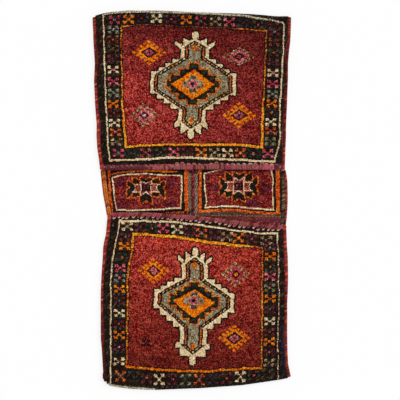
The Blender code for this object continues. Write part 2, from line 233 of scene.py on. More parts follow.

# The pattern of each bag, in chart units. A guide is (place, value) pairs along one line. "guard" is
# the cream frame and "line" the orange one, each with its half widths at left, right, top and bottom.
# A row of crossed squares has its way, its half spread, the motifs' places and yarns, and its line.
# "lots" is how light the field is from one end and side to the other, as the dye lots ran and as painted
# shade of the cloth's slow undulations
PATTERNS = {
    "upper": {
        "drift": 1,
        "field": "madder",
        "guard": {
            "left": (
                (12, 103.4), (30, 103.4), (60, 104.6), (90, 105.3), (120, 106.9), (133, 107.2),
                (146, 108.1), (161, 109.8),
            ),
            "right": (
                (12, 283.9), (40, 283.5), (52, 283.4), (62, 282.7), (80, 281.6), (90, 281.0), (100, 280.2),
                (120, 279.8), (137, 279.8), (146, 279.0), (153, 276.3), (158, 275.2),
            ),
            "top": (
                (90, 16.9), (105, 13.9), (114, 12.6), (125, 11.7), (140, 11.3), (190, 12.3), (215, 13.3),
                (240, 15.3), (255, 17.5), (270, 20.0), (284, 22.2),
            ),
            "bottom": (
                (104, 161.4), (125, 160.0), (150, 158.8), (160, 158.1), (175, 157.5), (200, 157.9),
                (235, 159.6), (250, 160.6), (276, 161.7),
            ),
        },
        "guard_widths": (
            0.56, ((12, 0.46), (60, 0.62), (120, 0.62), (160, 0.7)), 0.0, ((110, 0.9), (200, 1.0)),
        ),
        "line": {
            "left": ((27, 120.8), (60, 121.6), (100, 122.3), (130, 124.2), (146, 126.0)),
            "right": ((30, 266.5), (75, 264.9), (103, 263.1), (125, 262.4), (146, 261.9)),
            "top": (
                (120, 26.3), (135, 25.2), (150, 24.6), (165, 25.4), (180, 26.4), (200, 27.2), (225, 27.6),
                (240, 28.9), (266, 30.9),
            ),
            "bottom": ((126, 146.8), (150, 145.0), (190, 144.6), (235, 144.8), (262, 146.8)),
        },
        "line_widths": (
            ((27, 0.42), (90, 0.62), (120, 0.95), (147, 1.2)),
            ((27, 0.42), (90, 0.60), (122, 1.15), (147, 1.4)),
            ((120, 0.8), (135, 0.42), (225, 0.42), (240, 0.6)),
            ((126, 1.0), (190, 0.95), (202, 1.25), (262, 1.25)),
        ),
        "quads": (
            (
                "across", (3.8, 2.9),
                (114.7, 128.7, 141.9, 156.5, 171.2, 186.2, 201.0, 215.7, 229.6, 243.8, 258.5, 273.9),
                "magenta orange indigo cream plum orange crimson grey pink indigo charcoal plum",
                (
                    (100, 20.6), (114, 20.1), (128, 19.3), (142, 18.2), (156, 18.2), (171, 19.3),
                    (186, 20.2), (215, 21.4), (230, 21.9), (244, 23.0), (258, 24.6), (274, 26.6),
                ),
            ),
            (
                "down", (3.8, 2.45),
                (29.8, 39.3, 48.3, 58.3, 69.5, 81.3, 92.7, 103.9, 113.1, 123.0, 132.3, 141.8),
                "blue_grey red_brown olive plum cream pink green_grey orange plum cream orange_red grey",
                ((27, 112.9), (69, 112.9), (103, 113.5), (132, 115.0), (148, 117.3)),
            ),
            (
                "down", (3.8, 2.45),
                (31.8, 42.2, 52.8, 62.0, 73.0, 84.0, 94.3, 103.6, 112.8, 122.0, 130.9, 141.2),
                "plum red_brown charcoal plum cream pink "
                "green_grey orange indigo cream orange_red green_grey",
                ((27, 274.6), (80, 272.8), (148, 270.0)),
            ),
            (
                "across", (3.8, 2.9),
                (118.4, 130.9, 145.5, 161.0, 173.9, 187.4, 201.0, 214.5, 227.3, 240.2, 253.4, 267.8),
                "magenta dark_green mauve charcoal pink plum orange grey cream orange_red dark_green pink",
                ((110, 153.4), (180, 151.8), (276, 153.8)),
            ),
        ),
        "lots": {"down": ((12, 0.44), (45, 0.58), (85, 1.08), (150, 1.12)), "across": (1.26, 0.60)},
    },
    "lower": {
        "drift": 2,
        "field": "warm_madder",
        "guard": {
            "left": ((222, 119.9), (236, 117.2), (250, 113.9), (262, 112.1), (282, 110.8), (384, 110.6)),
            "right": (
                (232, 277.2), (262, 278.5), (280, 278.7), (290, 279.2), (302, 279.2), (318, 278.5),
                (340, 277.7), (384, 278.3),
            ),
            "top": (
                (119, 221.2), (140, 220.9), (160, 221.2), (175, 222.2), (190, 224.0), (212, 226.6),
                (225, 228.8), (240, 231.1), (256, 233.1), (278, 233.5),
            ),
            "bottom": ((104, 394.0), (280, 394.0)),
        },
        "guard_widths": (0.56, ((232, 0.75), (250, 0.5), (384, 0.42)), 0.9, 0.0),
        "line": {
            "left": ((233, 133.2), (248, 132.2), (262, 129.8), (276, 127.6), (312, 127.5), (366, 126.5)),
            "right": ((247, 262.2), (300, 262.4), (366, 261.4)),
            "top": (
                (132, 233.9), (152, 235.0), (172, 236.5), (184, 238.0), (196, 240.7), (215, 242.8),
                (235, 245.2), (262, 247.4),
            ),
            "bottom": (
                (126, 366.4), (144, 368.0), (167, 370.4), (184, 371.1), (204, 371.2), (222, 370.2),
                (240, 369.3), (262, 367.5),
            ),
        },
        "line_widths": (
            ((233, 1.0), (300, 0.70), (366, 0.62)),
            ((247, 0.6), (290, 0.75), (366, 0.7)),
            ((132, 1.1), (190, 1.3), (215, 1.45), (240, 1.15), (252, 0.8)),
            ((126, 1.15), (262, 1.1)),
        ),
        "quads": (
            (
                "across", (4.1, 3.1),
                (127.4, 140.4, 152.1, 163.1, 177.1, 189.6, 201.3, 214.5, 226.7, 238.7, 251.9, 266.6),
                "cream plum dark_green pink cream plum orange_red plum grey orange plum grey",
                (
                    (120, 226.0), (140, 227.2), (163, 228.2), (177, 229.4), (190, 231.0), (201, 232.9),
                    (213, 234.8), (226, 236.6), (239, 238.0), (252, 239.4), (268, 240.6),
                ),
            ),
            (
                "down", (3.8, 2.45),
                (237.2, 246.2, 257.4, 268.2, 278.0, 288.7, 300.5, 313.0, 324.0, 335.0, 347.4, 361.8),
                "plum orange dark_green pink blue_grey orange plum cream plum orange plum cream",
                ((240, 125.4), (246, 124.4), (257, 122.0), (268, 120.3), (288, 119.4), (362, 119.0)),
            ),
            (
                "down", (3.8, 2.45),
                (247.4, 256.5, 267.0, 276.9, 288.0, 299.0, 310.0, 321.5, 332.0, 341.6, 352.4, 362.6, 372.0),
                "plum orange charcoal pink green_grey orange plum cream plum orange plum grey charcoal",
                ((247, 270.1), (300, 270.0), (370, 269.0)),
            ),
            (
                "across", (3.6, 4.1),
                (120.6, 133.8, 146.4, 158.9, 172.0, 185.4, 199.0, 212.8, 226.6, 240.2, 253.4, 266.6),
                "orange_red charcoal plum cream plum green_grey orange_red indigo plum cream charcoal olive",
                (
                    (110, 376.0), (134, 376.8), (147, 378.2), (160, 379.6), (200, 379.6), (226, 378.4),
                    (240, 376.8), (268, 374.0),
                ),
            ),
        ),
        "lots": {
            "down": ((235, 1.48), (270, 1.12), (300, 0.90), (340, 0.67), (370, 0.46)),
            "across": (1.10, 0.96),
        },
    },
}
# The pale line along the upper bag's top edge: its half width by column
TOP_LINE_WIDTH = ((92, 0.6), (110, 0.8), (122, 1.1), (200, 1.15), (245, 0.95), (284, 0.7))
# A small crossed motif in dark yarn stands alone in the lower field
LONE_MOTIF = (146.0, 343.0)

# Each medallion: half sizes from its centre out, with the upper and lower halves apart.
# "stair" is the toothed outline as (reach across, reach up), "ring" the black blocks
MEDALLIONS = {
    "upper": {
        "centre": (193.2, 84.2),
        "lean": -0.05,
        "tilt": 0.022,
        "diamond": (21.6, 14.6, 15.4, 0.0),
        "bar": 39.4,
        "up": {
            "reach": 33.6,
            "slope": 0.62,
            "stair": ((42.6, 11.8), (35.4, 15.8), (28.4, 20.4), (21.6, 25.0)),
            "stair_end": 14.2,
            "neck": (10.4, 14.0, 36.5),
            "roof": (43.6, 0.58),
            "thorns": ((5.0, 11.6, 45.9, 0.45), (13.6, 19.8, 42.9, 0.50)),
            "block": (3.2, 43.6, 52.4),
            "ring": ((26.0, 3.2), (22.3, 8.7), (14.0, 14.8), (4.6, 20.4)),
            "star": 35.9,
        },
        "down": {
            "reach": 31.7,
            "slope": 0.62,
            "stair": ((42.6, 9.8), (35.4, 15.2), (28.2, 19.8), (21.0, 24.8)),
            "stair_end": 13.4,
            "neck": (10.0, 13.3, 36.4),
            "roof": (45.3, 0.80),
            "thorns": ((4.2, 10.2, 49.8, 0.55), (10.7, 16.4, 44.0, 0.55)),
            "block": (3.0, 45.0, 54.6),
            "ring": ((26.0, 3.2), (22.3, 8.7), (14.0, 14.8), (4.6, 20.4)),
            "star": 36.4,
        },
    },
    "lower": {
        "centre": (194.0, 300.8),
        "lean": -0.025,
        "tilt": 0.055,
        "diamond": (20.8, 12.2, 16.6, 0.9),
        "bar": 36.7,
        "up": {
            "reach": 28.2,
            "slope": 0.62,
            "stair": ((40.0, 9.7), (33.4, 13.6), (27.0, 17.8), (20.2, 22.0)),
            "stair_end": 12.6,
            "neck": (9.0, 12.6, 36.0),
            "roof": (43.6, 0.77),
            "thorns": ((5.2, 9.4, 48.6, 0.8), (11.4, 16.8, 45.4, 0.9)),
            "block": (2.8, 43.6, 53.0),
            "ring": ((24.1, 5.0), (17.4, 9.6), (10.4, 14.0), (4.0, 18.2)),
            "star": 34.8,
        },
        "down": {
            "reach": 34.4,
            "slope": 0.80,
            "stair": ((40.0, 9.5), (33.5, 15.6), (27.0, 21.5), (20.0, 26.8)),
            "stair_end": 13.4,
            "neck": (9.5, 13.3, 43.5),
            "roof": (54.0, 0.80),
            "thorns": ((3.0, 12.6, 55.4, 0.0), (12.0, 17.0, 47.6, 0.0)),
            "block": (3.0, 53.0, 64.4),
            "ring": ((24.1, 5.3), (17.0, 10.8), (11.2, 17.4), (4.0, 22.2)),
            "star": 45.8,
        },
    },
}

# Small hooked diamonds in the field: centre, half sizes of the hooks and of the dark ring, the yarns
# of the hooks, heart and eye, and whether it is a soft one, with worn hooks on a coloured ground
ROSETTES = {
    "upper": (
        ((149.3, 52.4), (17.0, 12.6), (8.8, 5.6), "orange", "magenta", "black", False),
        ((239.0, 56.6), (16.6, 9.4), (6.6, 4.1), "grey", "rust", "pink", True),
        ((143.8, 115.4), (14.6, 12.2), (4.9, 4.0), "grey", "pale_pink", "pink", True),
        ((239.1, 115.3), (16.6, 13.2), (9.2, 6.0), "orange", "pink", "black", False),
    ),
    "lower": (
        ((153.6, 270.9), (15.6, 13.0), (7.2, 6.4), "orange", "pink", "mauve", False),
        ((235.6, 274.1), (14.6, 12.4), (4.9, 4.9), "grey", "orange", "crimson", True),
        ((234.2, 338.2), (16.0, 13.8), (8.8, 6.7), "orange", "pink", "olive", False),
    ),
}

# How far each side stands out beyond the plain outline, in chart units, by chart row
SIDE_DRIFT = {
    "upper": {
        "left": (
            (16, 1.4), (28, 0.9), (38, 0.8), (50, 0.2), (62, -0.2), (80, 1.0), (104, 0.7), (124, -0.1),
            (136, 0.6), (148, 0.4), (158, -0.6), (172, -1.5),
        ),
        "right": (
            (14, 2.2), (28, 2.2), (38, 2.1), (50, 1.1), (62, 0.6), (76, 1.0), (104, 0.9), (128, 0.5),
            (136, 0.8), (148, 0.6), (160, 0.5), (172, 0.5),
        ),
    },
    "lower": {
        "left": (
            (216, 0.6), (224, 0.2), (234, -0.2), (242, 0.7), (248, 1.1), (258, 0.5), (268, 0.4), (280, 0.3),
            (292, 0.1), (304, -0.2), (316, -0.6), (344, -0.6), (352, -1.2), (364, -1.4), (384, -1.4),
        ),
        "right": (
            (222, 0.5), (234, 0.9), (246, 1.3), (256, 2.1), (268, 2.3), (280, 2.3), (290, 1.9), (304, 1.0),
            (316, 0.9), (328, 0.5), (352, 0.2), (364, 0.5), (376, 2.6),
        ),
    },
    "bridge": {
        "left": ((169, 2.2), (176, 2.1), (182, 2.0), (194, 1.8), (206, 0.7), (220, -0.2)),
        "right": ((169, 0.0), (176, 1.2), (182, 1.9), (196, 2.2), (206, 2.0), (218, 1.2), (224, 0.4)),
    },
}
# The chart row that each bag's outer end reaches, by chart column: the cloth has drawn in unevenly
OUTER_END = {
    "upper": (
        (92, 16.6), (96, 14.6), (104, 12.4), (112, 11.2), (128, 9.8), (160, 9.9), (200, 11.6),
        (240, 12.9), (252, 13.4), (264, 14.4), (276, 15.6), (290, 15.6),
    ),
    "lower": (
        (100, 378.0), (104, 382.4), (110, 386.6), (118, 388.0), (128, 389.4), (146, 390.6), (160, 390.5),
        (180, 389.7), (200, 389.0), (224, 387.3), (242, 386.0), (260, 383.4), (272, 381.6), (280, 380.4),
        (290, 378.4),
    ),
}
# How far each lip stands out over the bridge past its fold, in chart units by chart column
LIPS = {
    "upper": ((100, 0.6), (120, 0.6), (150, 0.1), (170, -0.1), (240, -0.1), (284, 0.3)),
    "lower": (
        (100, 3.6), (115, 4.2), (130, 5.4), (150, 6.3), (170, 6.2), (190, 6.0), (212, 5.2), (234, 3.6),
        (250, 2.2), (268, 1.6), (283, 1.7),
    ),
}
# How much wider than plain each binding is at its place, in chart units by chart row
BINDING_MORE = {
    "upper": {
        "left": (
            (17, 0.4), (28, 0.1), (36, -0.5), (80, -0.3), (110, 0.3), (125, 0.5), (140, 0.8), (172, 0.8),
        ),
        "right": ((17, 0.5), (34, 0.0), (50, -0.5), (150, -0.5), (172, 0.0)),
    },
    "lower": {
        "left": ((212, 1.5), (235, 1.1), (255, 0.5), (270, -0.3), (300, -0.5), (386, -0.5)),
        "right": ((222, 0.5), (250, 0.6), (285, 0.3), (296, -0.2), (386, -0.2)),
    },
}
# How light each binding is at its place, by chart row, in lighter and darker stretches down each side
BINDING_LIGHT = {
    "upper": {
        "left": (
            (17, 0.85), (28, 0.80), (38, 0.60), (50, 0.50), (65, 0.42), (80, 0.62), (92, 1.10),
            (110, 0.95), (125, 1.20), (160, 1.20), (168, 0.85), (172, 0.80),
        ),
        "right": (
            (17, 0.90), (30, 0.70), (42, 0.45), (62, 0.40), (82, 0.30), (95, 0.65), (112, 0.55),
            (140, 0.48), (154, 1.0), (172, 0.80),
        ),
    },
    "lower": {
        "left": (
            (212, 1.0), (224, 1.2), (248, 1.15), (262, 0.90), (290, 0.85), (306, 0.80), (322, 0.60),
            (336, 0.50), (350, 0.30), (386, 0.26),
        ),
        "right": (
            (222, 0.80), (236, 0.85), (248, 1.0), (280, 1.0), (292, 0.60), (308, 0.60), (322, 0.75),
            (370, 0.70), (380, 0.60),
        ),
    },
}
# Where the mouth's yarn changes colour, as (from, to, yarn) on the chart
HEM_PATCHES = {
    "upper": ((104, 150, "plum"), (226, 229, "magenta"), (271, 276, "pink"), (276, 284, "plum")),
    "lower": (
        (115.5, 119, "magenta"), (124, 128, "crimson"), (230.5, 232.5, "indigo"), (238, 240, "indigo"),
    ),
}

# The bridge's two star panels: the cream frame, the star's middle and shape, the ends as rows with
# their slopes, and the orange stripes at the sides
PANELS = {
    "left": {
        "drift": 3,
        "frame": {
            "left": ((171, 111.2), (176.6, 111.4), (187, 113.0), (196, 113.9), (211, 116.3)),
            "right": ((171, 181.6), (190, 181.8), (211, 179.8)),
            "top": (
                (111, 177.6), (117, 175.8), (129, 174.1), (146, 173.6), (153, 174.6), (167, 174.9),
                (182, 175.6),
            ),
            "bottom": ((116, 210.3), (142, 210.2), (160, 209.2), (181, 208.3)),
        },
        "frame_widths": (0.62, 0.66, 0.612, 0.75),
        "star": (145.8, 187.0),
        "stretch": (0.66, 1.18),
        "foot": (7.4, 0.15),
        "eye": "plum",
        "ends": ((168.6, 0.0), (210.8, 0.033)),
        "stripes": ((((171, 108.7), (196, 109.7), (211, 111.6)), 1.3), (((168, 186.3), (217, 186.3)), 1.85)),
    },
    "right": {
        "drift": 4,
        "frame": {
            "left": ((171, 204.6), (176, 203.9), (190, 205.3), (202, 206.6), (208, 205.4)),
            "right": ((168, 271.4), (177.5, 273.2), (202, 272.9), (211, 273.9)),
            "top": ((204, 173.9), (211, 171.7), (218, 170.0), (230, 168.0), (275, 167.6)),
            "bottom": ((205, 207.8), (223, 206.0), (242, 206.9), (254, 208.8), (274, 210.0)),
        },
        "frame_widths": (
            0.62, 0.66, ((200, 0.663), (206, 0.4675), (222, 0.425), (270, 0.51)), 0.75,
        ),
        "star": (238.9, 186.2),
        "stretch": (1.0, 1.06),
        "foot": (8.4, 0.42),
        "eye": "crimson",
        "ends": ((168.6, 0.0), (213.6, -0.025)),
        "stripes": ((((171, 199.9), (213, 200.2)), 1.4), (((168, 278.1), (216, 278.1)), 1.9)),
    },
}
# The orange line above the left panel's frame: its row and its half width by column
PANEL_TOP_LINE = ((111, 174.0), (118, 172.6), (128, 171.4), (145, 170.8), (165, 170.7), (176, 171.6))
PANEL_TOP_WIDTH = ((111, 0.7), (138, 0.9), (146, 1.25), (168, 1.2), (176, 0.5))
# The brown wedge of weave between the right panel and the lower lip
WEDGE = ((198, 215.6), (240, 216.4), (284, 217.4))


def linear(hex_colour):
    """An sRGB hex colour as linear red, green and blue."""
    parts = []
    for i in (1, 3, 5):
        value = int(hex_colour[i : i + 2], 16) / 255
        low = value / 12.92
        high = ((value + 0.055) / 1.055) ** 2.4
        parts.append(low if value <= 0.04045 else high)
    return tuple(parts)


def along(guide, at):
    """A guide's value at places along it."""
    places, values = zip(*guide)
    return np.interp(at, places, values)


def chart_column(x):
    return x / CHART_UNIT + CHART_MIDDLE[0]


def chart_row(y):
    return CHART_MIDDLE[1] - y / CHART_UNIT


class Chart:
    """The knotting chart of one cloth: the yarn of each knot, by the knot's place on the chart."""

    def __init__(self, x, y, ground):
        self.x = x
        self.y = y
        self.yarn = np.full(x.shape, YARN_NUMBER[ground])

    def paint(self, *rows):
        """Works in yarns: each row says where and which, and later ones cover earlier ones."""
        for where, yarn in rows:
            self.yarn[where] = YARN_NUMBER[yarn]

    def ripple(self, a, b, c, d):
        """An irregular speckle from -1 to 1, at four rates across and down the chart."""
        return np.sin(self.x * a + self.y * b) * np.sin(self.y * c + self.x * d)


def wandering(x, y, seed, size):
    """A slow, small sideways drift, as rows of knots never run quite true."""
    turn = seed * 1.7
    drift_x = size * (np.sin(y / 3.3 + turn) + 0.7 * np.sin(y / 7.9 + x / 31 + 2 * turn))
    drift_y = size * (np.sin(x / 4.1 + 3 * turn) + 0.7 * np.sin(x / 9.7 - y / 27 + turn))
    return x + drift_x, y + drift_y


def inside_frame(chart, lines, grows=(0, 0, 0, 0)):
    """Where the chart lies inside four guides, each moved out by its own distance."""
    left = along(lines["left"], chart.y) - grows[0]
    right = along(lines["right"], chart.y) + grows[1]
    top = along(lines["top"], chart.x) - grows[2]
    bottom = along(lines["bottom"], chart.x) + grows[3]
    return (chart.x > left) & (chart.x < right) & (chart.y > top) & (chart.y < bottom)


def paint_frame(chart, lines, widths, yarn, wider=0.0):
    """A frame on four guides, a little ragged; each half width is a guide or a number."""
    places = (chart.y, chart.y, chart.x, chart.x)
    rough = 1 + 0.10 * chart.ripple(1.9, 0.7, 2.2, -0.4)
    halves = []
    for width, at in zip(widths, places):
        plain = along(width, at) if isinstance(width, tuple) else width
        halves.append(plain * rough + wider)
    inner = [-half for half in halves]
    frame_knots = inside_frame(chart, lines, halves) & ~inside_frame(chart, lines, inner)
    chart.paint((frame_knots, yarn))
    return frame_knots


def paint_quad(chart, middle, yarn, number, reach):
    """Four small squares about two crossed threads and an eye, the border's motif."""
    wide, tall = reach
    across = np.abs(chart.x - middle[0])
    down = np.abs(chart.y - middle[1])
    partner = PARTNERS.get(yarn, "black")
    squares = (np.abs(across - wide) < 1.55) & (np.abs(down - tall) < 1.35)
    worn = np.sin(chart.x * 2.7 + number) * np.sin(chart.y * 3.1 + 2 * number) > 0.5
    eyes = ("blue_grey", yarn, "rust", yarn, "pink", partner)
    chart.paint(
        ((np.abs(across / wide - down / tall) < 0.26) & (across < wide), partner),
        (squares, yarn),
        (squares & worn, partner),
        ((across < 1.0) & (down < 0.95), eyes[number % len(eyes)]),
    )


def paint_quads(chart, rows):
    """The border's rows of motifs, each motif on its row's line."""
    for way, reach, places, yarns, line in rows:
        for number, (place, yarn) in enumerate(zip(places, yarns.split())):
            other = float(along(line, place))
            middle = (place, other) if way == "across" else (other, place)
            paint_quad(chart, middle, yarn, number, reach)


def paint_rosette(chart, middle, hooks, ring, yarn, heart, eye, soft):
    """A diamond with hooked edges, a dark ring and an eye."""
    u = np.abs(chart.x - middle[0])
    v = np.abs(chart.y - middle[1])
    outer = u / hooks[0] + v / hooks[1]
    inner = u / ring[0] + v / ring[1]
    # A hook stands on the edge every fourth knot, wider at its end than at its foot
    comb = np.mod((u / hooks[0] - v / hooks[1]) * 2.3 + 0.28, 1)
    hook = (outer < 0.92) & (comb < 0.45)
    hook |= (outer >= 0.80) & (outer < 1.02) & (comb < 0.62)
    if soft:
        patch = chart.ripple(2.3, 1, 2.1, -0.7) > -0.45
        chart.paint(
            (hook & patch & (inner > 1.4), yarn),
            ((outer < 0.9) & (comb > 0.6) & ~patch & (inner > 1.6), "olive"),
            (inner < 1.65, eye),
            (inner < 1, "black"),
            (inner < 0.48, heart),
        )
        return
    # Odd knots of a darker yarn are worked into the heart
    fleck = chart.ripple(1.9, 0.6, 1.7, -0.5) > 0.22
    chart.paint(
        ((outer < 0.86) & (comb >= 0.45), "red_brown"),
        (hook | (outer < 0.66), yarn),
        (inner < 1, "black"),
        (inner < 0.69, heart),
        (fleck & (inner < 0.69), "plum"),
        (inner < 0.24, eye),
    )


def medallion_outline(shape, half, a, b):
    """The cream outline of half a medallion and what lies inside it."""
    neck_in, neck_out, neck_end = half["neck"]
    apex, roof = half["roof"]
    band = b + roof * a
    inside = (a < shape["bar"]) & (b + half["slope"] * a < half["reach"])
    inside |= (a < neck_in) & (band < apex)
    ends = [reach_across for reach_across, _ in half["stair"][1:]] + [half["stair_end"]]
    cream = np.zeros(a.shape, bool)
    for (start, high), end in zip(half["stair"], ends):
        cream |= (a < start) & (a >= end) & (b < high)
    cream |= (a >= neck_in) & (a < neck_out) & (b < neck_end) & (b > half["stair"][-1][1] - 3)
    cream |= (band >= apex) & (band < apex + 2.4) & (a < neck_out + 0.6)
    for start, end, tip, fall in half["thorns"]:
        foot = np.where(a < neck_out, 0, tip - 8.0 + 0.9 * (a - neck_out))
        cream |= (a >= start) & (a < end) & (b < tip - fall * (end - a)) & (b > foot) & (band >= apex)
    wide, low, high = half["block"]
    taper = wide - 0.9 * (b < low + 2.2) - np.clip(b - high + 2.0, 0, 3) * 0.8
    cream |= (a < taper) & (b > low) & (b < high)
    return cream & ~inside, inside


def paint_medallion(chart, shape):
    """The stepped hexagon with its two necks, outlined in cream teeth, about a diamond."""
    x0, y0 = shape["centre"]
    u = chart.x - x0 - shape["lean"] * (chart.y - y0)
    v = y0 + shape["tilt"] * (chart.x - x0) - chart.y
    a = np.abs(u)
    for way, half in ((1, shape["up"]), (-1, shape["down"])):
        b = way * v
        here = b >= 0
        cream, inside = medallion_outline(shape, half, a, np.abs(b))
        dark = np.zeros(a.shape, bool)
        for step_a, step_b in ((1.7, 0), (-1.7, 0), (0, 1.7), (0, -1.7), (1.2, -1.2), (-1.2, -1.2)):
            dark |= medallion_outline(shape, half, np.abs(a + step_a), np.abs(b + step_b))[0]
        chart.paint((here & dark & ~inside, "black"), (here & cream, "cream"))
        paint_medallion_body(chart, shape, half, a, b, here & inside)
    reach_a, reach_up, reach_down, drop = shape["diamond"]
    stepped = np.floor((v + drop) / 1.1 + 0.5) * 1.1
    reach_b = np.where(stepped > 0, reach_up, reach_down)
    b = np.abs(v)
    # A grey flower of four petals about the eye
    flower = ((a < 10.4) & (b < 3.4)) | ((a < 3.9) & (b < 8.6)) | (a / 9.4 + b / 7.4 < 1.12)
    mixed = np.mod(np.floor(chart.x / 2.3) + 2 * np.floor(chart.y / 2.1), 5)
    chart.paint(
        (a / reach_a + np.abs(stepped) / reach_b < 1, "orange"),
        (flower, "grey"),
        (flower & (mixed == 1), "green_grey"),
        (flower & (mixed == 3), "charcoal"),
        ((a < 2.6) & (b > 5.4) & (b < 8.0), "undyed_brown"),
        (a / 6.2 + b / 5.0 < 1, "pink"),
        (a / 3.0 + b / 2.5 < 1, "black"),
    )


def paint_medallion_body(chart, shape, half, a, b, inside):
    """The grey body inside the cream, its dotted edge, black blocks and small star."""
    reach, slope = half["reach"], half["slope"]
    apex, roof = half["roof"]
    to_bar = shape["bar"] - a
    to_slope = (reach - slope * a - b) / math.hypot(1, slope)
    to_neck = half["neck"][0] - a
    to_roof = (apex - roof * a - b) / math.hypot(1, roof)
    hexagon = np.minimum(to_bar, to_slope)
    neck = np.minimum(to_neck, to_roof)
    depth = np.maximum(hexagon, neck)
    slanted = inside & np.where(hexagon > neck, to_slope < to_bar, to_roof < to_neck)
    straight = inside & ~slanted
    mixed = np.mod(np.floor(chart.x / 2.7) + 2 * np.floor(chart.y / 2.3), 7)
    # Black blocks about the diamond, stepped out with a thin rust line round them
    blocks, rust, core = (np.zeros(a.shape, bool) for _ in range(3))
    for reach_a, reach_b in half["ring"]:
        blocks |= (a < reach_a) & (b < reach_b)
        rust |= (a < reach_a + 1.8) & (b < reach_b + 1.6)
        core |= (np.abs(a - reach_a + 3.4) < 1.9) & (np.abs(b - reach_b + 2.6) < 1.4)
    # Along the straight sides a rust line between two dark ones, along the slopes dots
    dots = np.mod(np.floor((chart.x + 0.4 * chart.y) / 1.5), 2) == 0
    beads = slanted & (depth > 1.25) & (depth < 2.35) & dots
    from_star = a + 0.9 * np.abs(b - half["star"])
    chart.paint(
        (inside, "grey"),
        (inside & ((mixed == 1) | (mixed == 2)), "green_grey"),
        (inside & (mixed == 4), "blue_grey"),
        (inside & (mixed == 5), "undyed_grey"),
        (inside & rust, "rust"),
        (inside & rust & (chart.ripple(1.7, 0, 2.3, 0) > -0.25), "line_orange"),
        (inside & blocks, "black"),
        (inside & core, "dark_green"),
        (straight & (depth < 4.5), "black"),
        (straight & (depth > 1.35) & (depth < 2.75), "rust"),
        (slanted & (depth < 3.7), "black"),
        (beads, "cream"),
        (beads & (np.sin(chart.x * 0.9 + chart.y) > -0.3), "line_orange"),
        (inside & (from_star < 3.7), "line_orange"),
        (inside & (from_star < 1.9), "bridge_orange"),
    )


def draw_bag(name, x, y):
    """The whole pattern of one bag's front, at places on the chart."""
    pattern = PATTERNS[name]
    guard, line = pattern["guard"], pattern["line"]
    chart = Chart(*wandering(x, y, pattern["drift"], 0.24), "black")
    x, y = chart.x, chart.y
    dark_rows = np.mod(np.floor(y / 2.9 + 0.3 * np.sin(x / 9)), 4) == 1
    chart.paint(
        (dark_rows & (np.sin(x * 1.3 + y) > 0.4), "charcoal"),
        ((x < 102) & (y > 28) & (y < 74) & (chart.ripple(1.1, 0, 0.8, 0) > 0.1), "overcast_dark"),
    )
    if name == "lower":
        beyond = x - along(guard["right"], y)
        flecks = chart.ripple(1.7, 0.9, 1.3, -1)
        chart.paint(
            ((beyond > 5.0) & (y > 234) & (y < 300) & (flecks > -0.3), "overcast_dark"),
            ((beyond > 5.0) & (y > 240) & (y < 290) & (flecks > 0.45), "plum"),
            ((beyond > 3.0) & (beyond < 6.5) & (y > 326) & (y < 374) & (flecks > -0.25), "navy"),
            ((beyond > 4.0) & (y > 330) & (y < 374) & (flecks < -0.55), "indigo"),
        )
    paint_quads(chart, pattern["quads"])
    chart.paint((inside_frame(chart, line), pattern["field"]))
    paint_frame(chart, line, pattern["line_widths"], "black", wider=1.0)
    edge = paint_frame(chart, line, pattern["line_widths"], "line_orange")
    glow = chart.ripple(1.3, 0.6, 0.9, -0.5) > -0.35
    if name == "upper":
        bright = edge & (y > 98)
        worn = edge & (y < 30) & (x > 132) & (x < 236)
        ends = (worn & ~glow, "overcast_dark"), (worn & glow, "red_brown")
    else:
        bright = edge & (y < 248) & (x < 250)
        ends = ((edge & glow & (y > 362), "orange"),)
    chart.paint((bright, "orange"), (bright & glow, "golden"), *ends)
    rim = paint_frame(chart, guard, pattern["guard_widths"], "cream")
    chart.paint((rim & (chart.ripple(3.1, 1, 2.7, 0) > 0.78), "cream_pink"))
    if name == "lower":
        worn = rim & (x > 270) & (y > 240)
        chart.paint((worn, "cream_pink"), (worn & (np.sin(y * 1.7) * np.sin(y * 0.6) > 0.1), "grey"))
    else:
        within = (x > along(guard["left"], y) - 0.7) & (x < along(guard["right"], y) + 0.7)
        half = along(TOP_LINE_WIDTH, x) * (1 + 0.18 * np.sin(x * 2.1))
        band = within & (np.abs(y - along(guard["top"], x)) < half)
        chart.paint(
            (band, "pale_wool"),
            (band & (np.sin(x * 0.8) * np.sin(x * 0.31 + y) > 0.35), "cream"),
            (band & (chart.ripple(2.3, 1, 1.9, -0.4) > 0.5), "undyed_grey"),
        )
    for rosette in ROSETTES[name]:
        paint_rosette(chart, *rosette)
    if name == "lower":
        u, v = np.abs(x - LONE_MOTIF[0]), np.abs(y - LONE_MOTIF[1])
        petals = (np.abs(u - 2.3) < 1.6) & (np.abs(v - 2.0) < 1.4)
        chart.paint((petals | ((u < 1.0) & (v < 1.0)), "black"))
    paint_medallion(chart, MEDALLIONS[name])
    return chart.yarn


def star_arms(u, v, stretch, foot):
    """Where the star's sixteen dark leaves lie, about its middle; the lower corner ones are shorter."""
    a = np.abs(u)
    b = np.abs(v) / np.where(v < 0, stretch[0], stretch[1])
    side = (a < 18.8) & (b < 9.3) & (a > 11 + 0.35 * b) & (a > 12.6 + 1.25 * (b - 4.6))
    side &= a < 16 + 0.97 * b
    upright = (a < 5.8) & (b > np.where(v < 0, 6.3 + 0.62 * a, 4.9 + 0.60 * a)) & (b < 11.2 + 0.54 * a)
    end = np.where(v < 0, 10 + 0.65 * (a - 6.3), foot[0] + foot[1] * (a - 6.3))
    corner = (a > 6.4) & (a < 13.1) & (b > 5.0) & (b < end)
    return side | upright | corner


